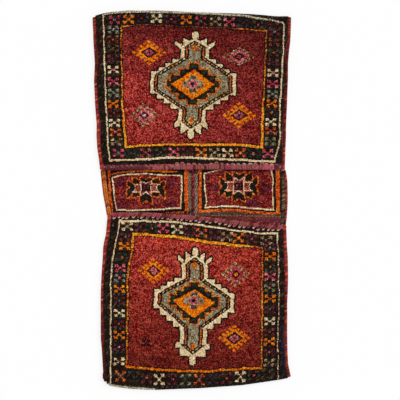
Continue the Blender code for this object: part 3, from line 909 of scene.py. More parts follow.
def paint_star(chart, panel):
    """An eight-pointed star of dark leaves, edged in orange, about a crossed square."""
    middle, stretch, foot = panel["star"], panel["stretch"], panel["foot"]
    u = chart.x - middle[0]
    v = chart.y - middle[1]
    a = np.abs(u)
    b = np.abs(v) / np.where(v < 0, stretch[0], stretch[1])
    edge = np.zeros(a.shape, bool)
    for step_u, step_v in ((1.3, 0), (-1.3, 0), (0, 1.3), (0, -1.3), (1, 1), (-1, -1), (1, -1), (-1, 1)):
        edge |= star_arms(u + step_u, v + step_v, stretch, foot)
    broken = chart.ripple(1.9, 0, 2.3, 0.6) > -0.35
    mixed = chart.ripple(2.1, 1, 2.6, -0.5)
    cheek = (a > 5.6) & (a < 12) & (b < 4.0)
    brow = (a < 5.0) & (b > 3.4) & (b < 6.5 + 0.6 * a)
    threads = (np.abs(a - 10.4 - 0.4 * b) < 0.40) & (b < 4.4)
    threads |= (np.abs(b - np.where(v < 0, 5.6 + 0.68 * a, 4.2 + 0.60 * a)) < 0.46) & (a < 5.4)
    threads |= (np.abs(a - 5.1) < 0.42) & (b < np.where(v < 0, 9.4, 7.4))
    threads |= (np.abs(b - 4.1) < 0.40) & (a > 4.8) & (a < 14.0)
    chart.paint(
        (edge & broken, "bridge_orange"),
        (edge & ~broken, "red_brown"),
        (edge & (np.sin(chart.x * 0.9 + chart.y * 1.1) > 0.45), "line_orange"),
        (cheek, "red_brown"),
        (cheek & (mixed > 0.15), "mauve"),
        (brow, "overcast_crimson"),
        (brow & (mixed > 0.0), "mauve"),
        (star_arms(u, v, stretch, foot), "black"),
        (threads, "cream_pink"),
        (threads & (mixed > 0.1), "cream"),
        ((a < 4.6) & (b < 3.7), "overcast_dark"),
        ((a < 3.9) & (b < 3.2), "black"),
        ((np.abs(a - 1.7) < 0.75) & (np.abs(b - 1.3) < 0.65), panel["eye"]),
    )


def draw_panel(side, x, y):
    """The pattern of one of the bridge's star panels."""
    panel = PANELS[side]
    lines = panel["frame"]
    chart = Chart(*wandering(x, y, panel["drift"], 0.18), "black")
    x, y = chart.x, chart.y
    for guide, half in panel["stripes"]:
        chart.paint((np.abs(x - along(guide, y)) < half, "bridge_orange"))
    if side == "right":
        below = y - along(lines["bottom"], x)
        chart.paint(
            ((below > 2.3) & (below < 5.0) & (x > 198.4), "bridge_orange"),
            ((below > 5.0) | (y > 214.4), "undyed_brown"),
        )
    else:
        top = (np.abs(y - along(PANEL_TOP_LINE, x)) < along(PANEL_TOP_WIDTH, x)) & (x > 111) & (x < 177)
        chart.paint(
            (top, "bridge_orange"),
            (top & (x > 142) & (np.sin(x) > -0.5), "orange"),
            ((y > 200) & (x < 107.4 + 0.5 * (y - 200)), "rust"),
        )
    field = inside_frame(chart, lines)
    lots = np.sin(x * 0.19 + 0.9) * np.sin(y * 0.27 + x * 0.05) + 0.35 * np.sin(y * 1.3)
    chart.paint(
        (inside_frame(chart, lines, (2.4, 2.4, 1.6, 1.9)), "black"),
        (field, "madder"),
        (field & (lots > 0.42), "purple_madder"),
    )
    edge = paint_frame(chart, lines, panel["frame_widths"], "cream")
    chart.paint((edge & (chart.ripple(3.1, 1, 2.7, 0) > 0.75), "cream_pink"))
    paint_star(chart, panel)
    return chart.yarn


def draw_ground(x, y):
    """The bridge's flat weave: stripes beside the seam, and bands below the panels."""
    chart = Chart(x, y, "plum_red")
    speckle = chart.ripple(2.1, 2.9, 1.7, -1.3)
    flecked = (x > 163) & (x < 188) & (y > 211.6) & (y < 213.6)
    lower = along(WEDGE, x)
    wedge = (x > 197) & (y < lower)
    fleck = np.sin(x * 2.9 + np.sin(x * 0.7) * 2) * np.sin(x * 0.43 + y) > 0.15
    chart.paint(
        (np.abs(x - 189.6) < 1.7, "charcoal"),
        ((np.abs(x - 189.4) < 1.6) & (speckle > 0.1), "green_grey"),
        ((np.abs(x - 189.6) < 1.7) & (speckle < -0.25), "plum"),
        (np.abs(x - 196.4) < 1.9, "plum_red"),
        ((np.abs(x - 196.3) < 1.7) & (speckle > 0.05), "undyed_grey"),
        ((np.abs(x - 196.1) < 1.4) & (speckle > 0.62), "pale_wool"),
        ((np.abs(x - 196.3) < 1.8) & (speckle < -0.55), "charcoal"),
        ((x < 190) & (y > 211.4) & (y < 214), "overcast_dark"),
        (flecked & (np.sin(x * 2.1 + np.sin(x * 0.9) * 2 + y) > 0.0), "orange_red"),
        (wedge & (y > 212), "undyed_brown"),
        (wedge & (y > lower - 1.6) & fleck, "undyed_grey"),
        ((y > 219.2) & (x > 262), "plum"),
    )
    return chart.yarn


def draw_back(x, y):
    """Plain bands across the back, as flat-woven saddlebag backs have."""
    chart = Chart(x, y, "plum_red")
    band = np.mod(np.abs(y - CHART_MIDDLE[1]), 27.0)
    chart.paint(
        (band < 2.4, "undyed_brown"),
        ((band > 2.4) & (band < 3.3), "black"),
        ((band > 12) & (band < 13.4), "indigo"),
        ((band > 13.4) & (band < 14.2), "rust"),
    )
    return chart.yarn


def draw_hem(name, x, stitch):
    """The hem's yarn at each stitch, with its odd patches of other yarns."""
    chart = Chart(x, x, "mauve")
    chart.paint((np.mod(stitch, 5) == 3, "plum_red"))
    for start, end, yarn in HEM_PATCHES[name]:
        chart.paint(((x > start) & (x < end) & (np.mod(stitch, 3) != 1), yarn))
    return chart.yarn


# The seeds of the random draws, so that every run gives the same wool
SEEDS = {
    "left_pile": 11,
    "right_pile": 12,
    "turned_edge": 21,
    "front_weave": 31,
    "mouth_hem": 41,
    "hem_stitches": 42,
    "left_loops": 51,
    "right_loops": 52,
    "back": 61,
    "ground": 71,
    "left_panel": 81,
    "right_panel": 82,
}
# Rows and columns of the flat cloths' grids
WEAVE_GRID = (160, 90)
HEM_GRID = (24, 220)
BACK_GRID = (200, 110)
GROUND_GRID = (120, 330)
# Width and length of a star panel, from which its knots are counted
PANEL_SIZE = (0.226, 0.129)
# The least and the most light that a stitch's colour gives back
DARKEST, LIGHTEST = 0.004, 0.95
# Uneven dye: its strength in blocks of so many rows by so many columns of knots
MOTTLE_BLOCKS = ((0.42, 1, 2), (0.42, 2, 1), (0.20, 1, 11), (0.22, 5, 7))


def draws(what):
    return np.random.default_rng(SEEDS[what])


def yarn_table(context):
    """The yarns' linear colours in order, from the panel's settings."""
    yarns = context.scene.saddlebag_yarns
    return np.array([tuple(getattr(yarns, name)) for name in YARN_NAMES])


def mottle_and_painted_shade(shape, rng):
    """How much lighter or darker each knot is: knots, short runs of one strand, rows and patches."""
    rows, columns = shape
    total = 0.92 * rng.normal(size=shape)
    for share, tall, wide in MOTTLE_BLOCKS:
        coarse = rng.normal(size=(rows // tall + 2, columns // wide + 2))
        grown = coarse.repeat(tall, axis=0).repeat(wide, axis=1)
        row, column = rng.integers(0, tall), rng.integers(0, wide)
        total += share * grown[row : row + rows, column : column + columns]
    # Painted shade of the pile's dips: dark draws are stretched further than light ones, so the dips between
    # knots go darker than any tip goes light
    return np.where(total < 0, 1.45, 0.80) * total


def dyed(context, numbers, rng, shade=None):
    """Knot by knot colours for yarn numbers, with the unevenness of hand-dyed wool and painted shade in the
    dips of the pile.
    """
    table = yarn_table(context)
    spread = np.array([YARN_SPREAD.get(name, OTHER_SPREAD) for name in YARN_NAMES])
    base = table[numbers]
    hue = rng.random(numbers.shape)
    for yarn, other, share, low, high in YARN_MIXES:
        here = (numbers == YARN_NUMBER[yarn]) & (hue >= low) & (hue < high)
        base[here] = base[here] * (1 - share) + table[YARN_NUMBER[other]] * share
    weak = 1 - base / base.max(axis=-1, keepdims=True)
    light = np.exp((spread[numbers] * mottle_and_painted_shade(numbers.shape, rng))[..., None] * (1 + PALING * weak))
    light = np.minimum(light, MOST_LIGHT)
    for number in np.unique(numbers):
        light[numbers == number] /= light[numbers == number].mean(axis=0)
    if shade is not None:
        light = light * shade[..., None]
    return np.clip(base * light, 0.002, LIGHTEST)


def lots_and_painted_shade(name, numbers, x, y):
    """Dye-lot lightness with the painted shade of the cloth's slow undulations: full on the madder field, a
    quarter of it on the other yarns.
    """
    lots = PATTERNS[name]["lots"]
    left, right = lots["across"]
    share = np.clip((x - 100) / 180, 0, 1)
    bands = 1 + 0.06 * np.sin(y / 2.9) + 0.05 * np.sin(y / 6.1 + 1) + 0.04 * np.sin(y / 13 + x / 50)
    shade = along(lots["down"], y) * (left + (right - left) * share) * bands
    field = (numbers == YARN_NUMBER["madder"]) | (numbers == YARN_NUMBER["warm_madder"])
    return np.where(field, shade, 1 + 0.25 * (np.minimum(shade, 1) - 1))


def shift(line, distance):
    """A line across the bag, as its Y on the middle and its slope, moved towards +Y."""
    middle, slope = line
    return middle + distance * math.hypot(1, slope), slope


def bag_side(bag, side, y):
    """The signed X of a bag's outline at Y."""
    column, sign = SIDES[side]
    mouth, belly, fold = (WIDTH * row[column] for row in bag["shares"])
    t = (y - bag["hinge"][0]) / (bag["fold"][0] - bag["hinge"][0])
    bow = 4 * (belly - (mouth + fold) / 2)
    drift = along(SIDE_DRIFT[bag["name"]][side], chart_row(y)) * CHART_UNIT
    return sign * (mouth + (fold - mouth) * t + bow * t * (1 - t) + drift)


def bridge_side(side, y):
    """The signed X of the bridge's outline at Y."""
    upper, lower = (WIDTH * share for share in BRIDGE_SHARES[side])
    share = (BAGS["upper"]["hinge"][0] - y) / BRIDGE_LENGTH
    drift = along(SIDE_DRIFT["bridge"][side], chart_row(y)) * CHART_UNIT
    return SIDES[side][1] * (upper + (lower - upper) * share + drift)


def settle(bag, x, y):
    """Y moved so that a bag's outer end follows its real edge, and its mouth stays."""
    hinge_y = bag["hinge"][0] + bag["hinge"][1] * x
    fold_y = bag["fold"][0] + bag["fold"][1] * x
    share = np.clip((y - hinge_y) / (fold_y - hinge_y), 0, 1.1)
    edge = (CHART_MIDDLE[1] - along(OUTER_END[bag["name"]], chart_column(x))) * CHART_UNIT
    return y + (edge - fold_y) * share**3


def pout(bag, x, y):
    """Y moved so that a front's lip stands out over the bridge as far as it does at each column."""
    out = along(LIPS[bag["name"]], chart_column(x)) * CHART_UNIT
    inward = (y - bag["hinge"][0] - bag["hinge"][1] * x) * bag["outward"]
    return y - bag["outward"] * out * np.exp(-((np.maximum(inward, 0) / 0.08) ** 2))


def lip_rise(bag, x, y):
    """How far the lip is held up off the bridge where it stands out over it, in metres."""
    past = np.maximum(0, (bag["hinge"][0] + bag["hinge"][1] * x - y) * bag["outward"])
    return 0.36 * past**2 / (past + 0.003)


def binding_more(bag, side, y):
    """How much wider than plain a binding is at Y, in metres."""
    return along(BINDING_MORE[bag["name"]][side], chart_row(y)) * CHART_UNIT


def edge_x(side_x, edge, middles, slopes):
    """Where lines meet an edge, which is a side with an inset, or a plain X."""
    if not isinstance(edge, tuple):
        return np.full(middles.shape, float(edge))
    side, inset = edge
    x = np.zeros(middles.shape)
    for _ in range(5):
        x = side_x(side, middles + slopes * x) - SIDES[side][1] * inset
    return x


def meets(side_x, edge, line):
    """The X where one line meets an edge."""
    return float(edge_x(side_x, edge, np.array([line[0]]), np.array([line[1]]))[0])


def grid_places(side_x, first, last, left, right, rows, columns):
    """X and Y of a grid between two lines and two edges, with the rows towards +Y."""
    if first[0] > last[0]:
        first, last = last, first
    t = np.linspace(0, 1, rows + 1)
    middles = first[0] + (last[0] - first[0]) * t
    slopes = first[1] + (last[1] - first[1]) * t
    from_x = edge_x(side_x, left, middles, slopes)
    to_x = edge_x(side_x, right, middles, slopes)
    s = np.linspace(0, 1, columns + 1)
    x = from_x[:, None] + (to_x - from_x)[:, None] * s
    return x, middles[:, None] + slopes[:, None] * x


def on_bag(bag):
    return lambda side, y: bag_side(bag, side, y)


def in_bag(bag):
    """The bag's side, moved in where its binding is wider than plain."""
    return lambda side, y: bag_side(bag, side, y) - SIDES[side][1] * np.maximum(binding_more(bag, side, y), 0)


def cell_middles(grid):
    return (grid[:-1, :-1] + grid[1:, :-1] + grid[:-1, 1:] + grid[1:, 1:]) / 4


def raised(x, y, z):
    """Places in three dimensions from X and Y and their height, or one height for all."""
    return np.stack([x, y, np.broadcast_to(z, x.shape)], axis=-1)


def make_piece(name, points, triangles, quads, colours, sharp_below=0, spread=None):
    """An object from points and faces, with a linear colour at every face corner."""
    mesh = bpy.data.meshes.new(name)
    mesh.vertices.add(len(points))
    mesh.vertices.foreach_set("co", np.ascontiguousarray(points, np.float32).ravel())
    corners = np.concatenate([triangles.ravel(), quads.ravel()]).astype(np.int32)
    sizes = np.concatenate([np.full(len(triangles), 3), np.full(len(quads), 4)])
    starts = np.concatenate([[0], np.cumsum(sizes)[:-1]])
    mesh.loops.add(len(corners))
    mesh.loops.foreach_set("vertex_index", corners)
    mesh.polygons.add(len(sizes))
    mesh.polygons.foreach_set("loop_start", starts.astype(np.int32))
    mesh.polygons.foreach_set("loop_total", sizes.astype(np.int32))
    mesh.polygons.foreach_set("use_smooth", np.ones(len(sizes), bool))
    mesh.update(calc_edges=True)
    mesh.validate()
    if sharp_below:
        ends = np.zeros(2 * len(mesh.edges), np.int32)
        mesh.edges.foreach_get("vertices", ends)
        sharp = (ends.reshape(-1, 2) < sharp_below).all(axis=1)
        mesh.edges.foreach_set("use_edge_sharp", sharp)
    layer = mesh.color_attributes.new(name="yarn", type="FLOAT_COLOR", domain="CORNER")
    full = np.concatenate([colours, np.ones((len(colours), 1))], axis=1)
    layer.data.foreach_set("color", full.astype(np.float32).ravel())
    if spread is not None:
        laid = mesh.uv_layers.new(name="OFBake")
        laid.data.foreach_set("uv", spread.astype(np.float32).ravel())
    piece = bpy.data.objects.new(name, mesh)
    bpy.context.scene.collection.objects.link(piece)
    return piece


def grid_numbers(rows, columns, start):
    """Point numbers of a grid, as the four corners of each cell, counter-clockwise."""
    numbers = start + np.arange((rows + 1) * (columns + 1)).reshape(rows + 1, columns + 1)
    return numbers, (numbers[:-1, :-1], numbers[:-1, 1:], numbers[1:, 1:], numbers[1:, :-1])


def under_faces(upper, start):
    """The faces of a cloth's under side, whose points count from a start, and of its four edges."""
    rows, columns = upper.shape
    lower, (a, b, c, d) = grid_numbers(rows - 1, columns - 1, start)
    rim = []
    for high, low in (
        (upper[0], lower[0]),
        (upper[:, -1], lower[:, -1]),
        (upper[-1][::-1], lower[-1][::-1]),
        (upper[::-1, 0], lower[::-1, 0]),
    ):
        rim.append(np.stack([low[:-1], low[1:], high[1:], high[:-1]], axis=-1))
    return np.stack([a, d, c, b], axis=-1).reshape(-1, 4), np.concatenate(rim)


def layout(grid_shape, low, high):
    """Places on the flat map for a grid's points, between two heights of the map."""
    rows, columns = grid_shape
    u = np.linspace(0.01, 0.99, columns)[None, :].repeat(rows, axis=0)
    v = np.linspace(low, high, rows)[:, None].repeat(columns, axis=1)
    return np.stack([u, v], axis=-1).reshape(-1, 2)


def laid_out(places, faces, rim):
    """Places on the flat map for the corners of a cloth's faces, with its rim in a band below them."""
    band = np.linspace(0.01, 0.99, 4 * len(rim))
    edge = np.stack([band, np.full(len(band), 0.012)], axis=-1)
    edge[::4, 1] = 0.004
    return np.concatenate([places[part.ravel()] for part in faces] + [edge])


def knotted_piece(name, corners, tips, under, colours, ground):
    """A closed pile cloth: each knot is four triangles that rise to its tip, with painted shade at its foot
    and a painted highlight on its tip.
    """
    upper, (a, b, c, d) = grid_numbers(*tips.shape[:2], 0)
    tip = upper.size + np.arange(a.size).reshape(a.shape)
    base, rim = under_faces(upper, upper.size + tip.size)
    sides = ((a, b, tip), (b, c, tip), (c, d, tip), (d, a, tip))
    triangles = np.stack([np.stack(side, axis=-1) for side in sides], axis=2).reshape(-1, 3)
    quads = np.concatenate([base, rim])
    points = np.concatenate([grid.reshape(-1, 3) for grid in (corners, tips, under)])
    # Painted shade on each knot's two foot corners and a painted highlight on its tip
    lights = np.array([ROOT_PAINTED_SHADE, ROOT_PAINTED_SHADE, TIP_PAINTED_HIGHLIGHT])
    knots = colours.reshape(-1, 1, 1, 3) * lights[None, None, :, None]
    knots = np.repeat(knots, 4, axis=1).reshape(-1, 3)
    rest = np.tile(ground, (4 * len(quads), 1))
    places = layout(upper.shape, 0.08, 0.99)
    middles = cell_middles(places.reshape(*upper.shape, 2)).reshape(-1, 2)
    places = np.concatenate([places, middles, layout(upper.shape, 0.03, 0.06)])
    spread = laid_out(places, (triangles, base), rim)
    colours = np.concatenate([knots, rest])
    return make_piece(name, points, triangles, quads, colours, upper.size, spread)


def woven_piece(name, top, under, colours, under_colours):
    """A closed flat cloth from its upper and under grids, coloured cell by cell."""
    upper, faces = grid_numbers(top.shape[0] - 1, top.shape[1] - 1, 0)
    base, rim = under_faces(upper, upper.size)
    over = np.stack(faces, axis=-1).reshape(-1, 4)
    quads = np.concatenate([over, base, rim])
    points = np.concatenate([top.reshape(-1, 3), under.reshape(-1, 3)])
    paint = [np.repeat(cells.reshape(-1, 3), 4, axis=0) for cells in (colours, under_colours)]
    paint.append(np.tile(colours.reshape(-1, 3).mean(axis=0), (4 * len(rim), 1)))
    places = np.concatenate([layout(upper.shape, 0.52, 0.99), layout(upper.shape, 0.03, 0.48)])
    spread = laid_out(places, (over, base), rim)
    empty = np.zeros((0, 3), int)
    return make_piece(name, points, empty, quads, np.concatenate(paint), spread=spread)


def roll_parts(rings, colours, start):
    """Points, triangles, quads and corner colours of a closed tube through rings."""
    count, around = rings.shape[:2]
    numbers = start + np.arange(count * around).reshape(count, around)
    following = np.roll(numbers, -1, axis=1)
    quads = np.stack([numbers[:-1], following[:-1], following[1:], numbers[1:]], axis=-1)
    first, last = start + count * around, start + count * around + 1
    caps = [
        np.stack([following[0], numbers[0], np.full(around, first)], axis=-1),
        np.stack([numbers[-1], following[-1], np.full(around, last)], axis=-1),
    ]
    ends = np.stack([rings[0].mean(axis=0), rings[-1].mean(axis=0)])
    points = np.concatenate([rings.reshape(-1, 3), ends])
    cap_colours = np.repeat(np.concatenate([colours[0], colours[-1]]), 3, axis=0)
    quad_colours = np.repeat(colours.reshape(-1, 3), 4, axis=0)
    return points, np.concatenate(caps), quads.reshape(-1, 4), cap_colours, quad_colours


def joined_rolls(name, rolls):
    """One object from several closed tubes, each as rings and colours."""
    parts = []
    start = 0
    for rings, colours in rolls:
        parts.append(roll_parts(rings, colours, start))
        start += len(parts[-1][0])
    points, triangles, quads, caps, sides = (np.concatenate(part) for part in zip(*parts))
    return make_piece(name, points, triangles, quads, np.concatenate([caps, sides]))


def ridge(phase):
    """The rounded crest of a stitch, from 0 in the dip between stitches to 1 on top."""
    place = 2 * np.mod(phase, 1) - 1
    return np.sqrt(np.clip(1 - place**2, 0, 1))


def lengths_along(path):
    return np.concatenate([[0], np.cumsum(np.linalg.norm(np.diff(path, axis=0), axis=1))])


def tube_rings(path, radius, around, twist, relief):
    """Rings of a two-ply cord along a path, with the plies as ridges that wind round it."""
    steps = np.gradient(path, axis=0)
    steps /= np.linalg.norm(steps, axis=1)[:, None]
    side = np.cross(steps, np.array([0.0, 0.0, 1.0]))
    flat = np.linalg.norm(side, axis=1)[:, None]
    side = np.where(flat > 0.05, side / np.maximum(flat, 1e-9), np.array([1.0, 0.0, 0.0]))
    rise = np.cross(side, steps)
    turn = np.linspace(0, 2 * np.pi, around, endpoint=False)
    phase = 2 * turn[None, :] + twist * lengths_along(path)[:, None] * 2 * np.pi
    size = np.broadcast_to(radius, len(path))[:, None] * (1 + relief * np.cos(phase))
    across = np.cos(turn)[None, :, None] * side[:, None, :]
    lift = np.sin(turn)[None, :, None] * rise[:, None, :]
    return path[:, None, :] + size[..., None] * (across + lift), phase


def add_node(tree, kind, inputs=None, out=None, **settings):
    """A node with its settings and its inputs set or linked; or, if one is named, its output."""
    made = tree.nodes.new(kind)
    for key, value in settings.items():
        setattr(made, key, value)
    for key, value in (inputs or {}).items():
        if isinstance(value, bpy.types.NodeSocket):
            tree.links.new(value, made.inputs[key])
        else:
            made.inputs[key].default_value = value
    return made.outputs[out] if out else made


def empty_tree(owner):
    """The node tree of a material or world, cleared."""
    owner.use_nodes = True
    owner.node_tree.nodes.clear()
    return owner.node_tree


def combined(tree, operation, first, second):
    return add_node(tree, "ShaderNodeMath", {0: first, 1: second}, "Value", operation=operation)


def remapped(tree, value, low, high, to_low, to_high):
    limits = {"From Min": low, "From Max": high, "To Min": to_low, "To Max": to_high}
    return add_node(tree, "ShaderNodeMapRange", {"Value": value, **limits}, "Result")


# Each slot of the record with its finish: name, fibre size, thread spacing and bump depth in
# millimetres, roughness and sheen
FINISHES = {
    # Cut wool ends stand up, so they scatter light and never shine
    "madder_pile": ("knotted_wool_pile", 0.9, 0.0, 0.35, 0.97, 0.0),
    # Weft-faced wool shows as close ribs, matt with a faint nap
    "red_weave": ("flat_woven_wool", 0.7, 2.0, 0.30, 0.95, 0.0),
    # Overcast stitches are tight plied wool, a little smoother than pile
    "red_overcast": ("overcast_wool_yarn", 0.6, 0.0, 0.25, 0.88, 0.02),
    # Braided wool, plied and firm
    "orange_braid": ("braided_wool", 0.6, 0.0, 0.25, 0.88, 0.02),
    # Twined and twisted mauve wool of the hem and loops
    "mauve_weave": ("twined_mauve_wool", 0.5, 0.0, 0.22, 0.9, 0.02),
    # Undyed sheep's wool, coarser than the dyed yarns
    "grey_weave": ("undyed_grey_wool", 0.8, 1.6, 0.28, 0.93, 0.0),
    # Plum cord, twisted hard
    "plum_cord": ("twisted_plum_cord", 0.5, 0.0, 0.20, 0.88, 0.02),
    # Goat hair has long stiff fibres with a slight shine
    "dark_yarn": ("dark_goat_hair", 0.4, 0.0, 0.15, 0.7, 0.0),
}
# Blender's wave bands repeat every 0.314 of a unit at scale 1
WAVE_PERIOD = math.pi / 10
# The size in millimetres of the slow patches where wool has faded
FADED_PATCH = 35


def wool(slot):
    """The material of a slot: the yarn's own colour, fibres and thread ribs."""
    name, fibre_size, thread, depth, rough, sheen = FINISHES[slot]
    if name in bpy.data.materials:
        return bpy.data.materials[name]
    material = bpy.data.materials.new(name)
    tree = empty_tree(material)
    place = add_node(tree, "ShaderNodeTexCoord", None, "Object")
    yarn = add_node(tree, "ShaderNodeAttribute", None, "Color", attribute_name="yarn")
    fine = {"Vector": place, "Scale": 1000 / fibre_size, "Detail": 3, "Roughness": 0.65}
    slow = {"Vector": place, "Scale": 1000 / FADED_PATCH, "Detail": 2}
    fibre = add_node(tree, "ShaderNodeTexNoise", fine, "Fac")
    drift = add_node(tree, "ShaderNodeTexNoise", slow, "Fac")
    fibre_light = remapped(tree, fibre, 0.30, 0.70, 0.80, 1.20)
    light = combined(tree, "MULTIPLY", fibre_light, remapped(tree, drift, 0.35, 0.65, 0.92, 1.08))
    height = fibre
    if thread:
        bands = {"Vector": place, "Scale": WAVE_PERIOD * 1000 / thread, "Distortion": 0.4}
        ribs = add_node(tree, "ShaderNodeTexWave", bands, "Fac", bands_direction="Y")
        height = combined(tree, "ADD", fibre, ribs)
        light = combined(tree, "MULTIPLY", light, remapped(tree, ribs, 0, 1, 0.82, 1.10))
    relief = {"Height": height, "Distance": depth / 1000, "Strength": 0.7}
    surface = {
        "Base Color": add_node(
            tree, "ShaderNodeVectorMath", {0: yarn, "Scale": light}, "Vector", operation="SCALE"
        ),
        "Roughness": rough,
        "Specular IOR Level": 0.08,
        "Sheen Weight": sheen,
        "Sheen Roughness": 0.5,
        "Normal": add_node(tree, "ShaderNodeBump", relief, "Normal"),
    }
    shader = add_node(tree, "ShaderNodeBsdfPrincipled", surface, "BSDF")
    add_node(tree, "ShaderNodeOutputMaterial", {"Surface": shader})
    return material


def finish_piece(piece, slot, node, body=None):
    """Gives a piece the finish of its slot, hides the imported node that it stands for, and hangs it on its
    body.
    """
    piece.data.materials.append(wool(slot))
    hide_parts(node)
    if body:
        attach(piece, body)
    return piece


def finish_half(piece, slot, bag, side, part):
    """Finishes half a front cloth and bakes its place into its points."""
    name = bag["name"]
    finish_piece(piece, slot, f"{name}_{part}")
    sewn = meets(in_bag(bag), (side, BINDING_WIDTH + 0.0008), bag["hinge"])
    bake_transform(piece)
    return piece


def swell(x, y):
    """The slow rise and fall of cloth that lies over itself, in metres."""
    waves = np.sin(x * 37 + y * 9) + np.sin(y * 31 - x * 11 + 1) + 0.7 * np.sin(x * 71 - y * 53 + 2)
    return 0.00035 * waves


def halves(side):
    """The two edges of a half cloth: the binding side and the bag's middle."""
    return (("left", TUCK), 0.0) if side == "left" else (0.0, ("right", TUCK))


def turn_centre(bag):
    return shift(bag["fold"], -bag["outward"] * TURN_RADIUS)


def front_y(bag, x, y):
    """Y of a front's place, with its outer end and its lip where they really lie."""
    return pout(bag, x, settle(bag, x, y))


def knot_counts(context, wide, long):
    sizes = context.scene.saddlebag_sizes
    return max(2, round(long / sizes.knot_height)), max(2, round(wide / sizes.knot_width))


def loosened(x, y, knot, share, rng):
    """A grid of knots shifted about by a share of a knot, except along its edges."""
    inner = np.zeros(x.shape)
    inner[1:-1, 1:-1] = 1
    moved_x = x + rng.normal(size=x.shape) * knot * share * inner
    return moved_x, y + rng.normal(size=x.shape) * knot * share * inner


def piled(context, name, grids, colours):
    """A knotted cloth from its corners, tips and under side, on a plum red ground."""
    return knotted_piece(name, *grids, colours, yarn_table(context)[YARN_NUMBER["plum_red"]])


def ribbed(x, y, low, high, depth, pitch, up=0.0):
    """The upper and under grids of a flat weave, ribbed by its weft and just inside its thickness."""
    rib = depth * np.sin(2 * np.pi * y / pitch)
    return raised(x, y, high - 0.0002 + rib + up), raised(x, y, low + 0.0002 - rib + up)


def make_front_pile(context, bag, side):
    """Half of a bag's knotted front, from the mouth's hem to the turned edge."""
    name, outward = bag["name"], bag["outward"]
    rng = draws(f"{side}_pile")
    start = shift(bag["hinge"], outward * bag["hem"])
    end = turn_centre(bag)
    rows, columns = knot_counts(context, WIDTH / 2 - TUCK, abs(end[0] - start[0]))
    x, y = grid_places(in_bag(bag), start, end, *halves(side), rows, columns)
    knot = context.scene.saddlebag_sizes.knot_width
    x, y = loosened(x, y, knot, 0.16, rng)
    # Where the knots near the hem shift about, the pile's edge comes out ragged
    mouth_row = 0 if outward > 0 else -1
    y[mouth_row] += rng.normal(size=y.shape[1]) * knot * 0.45
    y = front_y(bag, x, y)
    # The pile is lower beside the binding and at the hem
    off_side = np.abs(np.abs(x) - np.abs(edge_x(in_bag(bag), (side, TUCK), y, 0 * y)))
    drop = 0.0042 * np.exp(-((off_side / 0.0042) ** 2))
    drop += 0.0016 * np.exp(-((np.abs(y - y[mouth_row]) / 0.003) ** 2))
    up = lip_rise(bag, x, y)
    floor = PILE_HIGH - TUFT_HEIGHT + swell(x, y) + rng.normal(size=x.shape) * 0.00012 + up
    corners = raised(x, y, floor - drop)
    tips = cell_middles(corners)
    tips[..., 2] += TUFT_HEIGHT * (1 + 0.22 * rng.normal(size=tips.shape[:2]))
    tips[..., :2] += rng.normal(size=(*tips.shape[:2], 2)) * knot * 0.14
    place = chart_column(tips[..., 0]), chart_row(tips[..., 1])
    numbers = draw_bag(name, *place)
    # Knot colours with the dye lots' bands and the painted shade of the cloth's undulations
    colours = dyed(context, numbers, rng, lots_and_painted_shade(name, numbers, *place))
    grids = corners, tips, raised(x, y, PILE_LOW + up)
    piece = piled(context, f"{name}_{side}_pile", grids, colours)
    return finish_half(piece, "madder_pile", bag, side, "front_pile")


def make_turned_edge(context, bag):
    """The piled cloth where it turns round the outer end, from the back up to the front."""
    name, outward = bag["name"], bag["outward"]
    rng = draws("turned_edge")
    sizes = context.scene.saddlebag_sizes
    rows = round(math.pi * TURN_RADIUS / sizes.knot_height)
    columns = round(2 * (WIDTH / 2 - TUCK) / sizes.knot_width)
    # The rows run from the front over the edge, so the outside faces out on either bag
    angles = np.linspace(math.pi / 2, -math.pi / 2, rows + 1)[::outward]
    corners, under = [], []
    for angle in angles:
        for radius, grid in ((TURN_RADIUS - TUFT_HEIGHT, corners), (TURN_INNER, under)):
            line = shift(turn_centre(bag), outward * radius * math.cos(angle))
            ends = [meets(on_bag(bag), (edge, TUCK), line) for edge in SIDES]
            x = np.linspace(*ends, columns + 1)
            y = settle(bag, x, line[0] + line[1] * x)
            grid.append(raised(x, y, TURN_RADIUS + radius * math.sin(angle)))
    corners, under = np.array(corners), np.array(under)
    tips = cell_middles(corners)
    middle_angles = (angles[:-1] + angles[1:]) / 2
    rise = TUFT_HEIGHT * (1.1 + 0.22 * rng.normal(size=tips.shape[:2]))
    tips[..., 1] += rise * np.cos(middle_angles)[:, None] * outward
    tips[..., 2] += rise * np.sin(middle_angles)[:, None]
    # Seen from the front the pattern runs to the edge; round the edge the border's ground goes on
    column, row = chart_column(tips[..., 0]), chart_row(tips[..., 1])
    numbers = draw_bag(name, column, row)
    numbers[middle_angles < -0.35] = YARN_NUMBER["black"]
    if name == "lower":
        pale = (column > 108) & (column < 155) & (row > along(OUTER_END[name], column) - 2.3)
        numbers[pale] = YARN_NUMBER["pale_wool"]
    # Dye lots with the painted shade of the cloth's undulations
    shade = lots_and_painted_shade(name, numbers, column, np.clip(row, 14, 386))
    colours = dyed(context, numbers, rng, shade)
    piece = piled(context, f"{name}_turned_pile", (corners, tips, under), colours)
    finish_piece(piece, "madder_pile", f"{name}_turned_edge", f"{name}_bag")


def make_front_weave(context, bag, side):
    """Half of the ground weave under a bag's pile."""
    end = shift(turn_centre(bag), -bag["outward"] * 0.001)
    x, y = grid_places(in_bag(bag), bag["hinge"], end, *halves(side), *WEAVE_GRID)
    y = front_y(bag, x, y)
    grids = ribbed(x, y, WEAVE_LOW, WEAVE_HIGH, 0.0002, 0.0056, lip_rise(bag, x, y))
    colours = dyed(context, np.full(WEAVE_GRID, YARN_NUMBER["plum_red"]), draws("front_weave"))
    piece = woven_piece(f"{bag['name']}_{side}_front_weave", *grids, colours, colours)
    return finish_half(piece, "red_weave", bag, side, "front_weave")


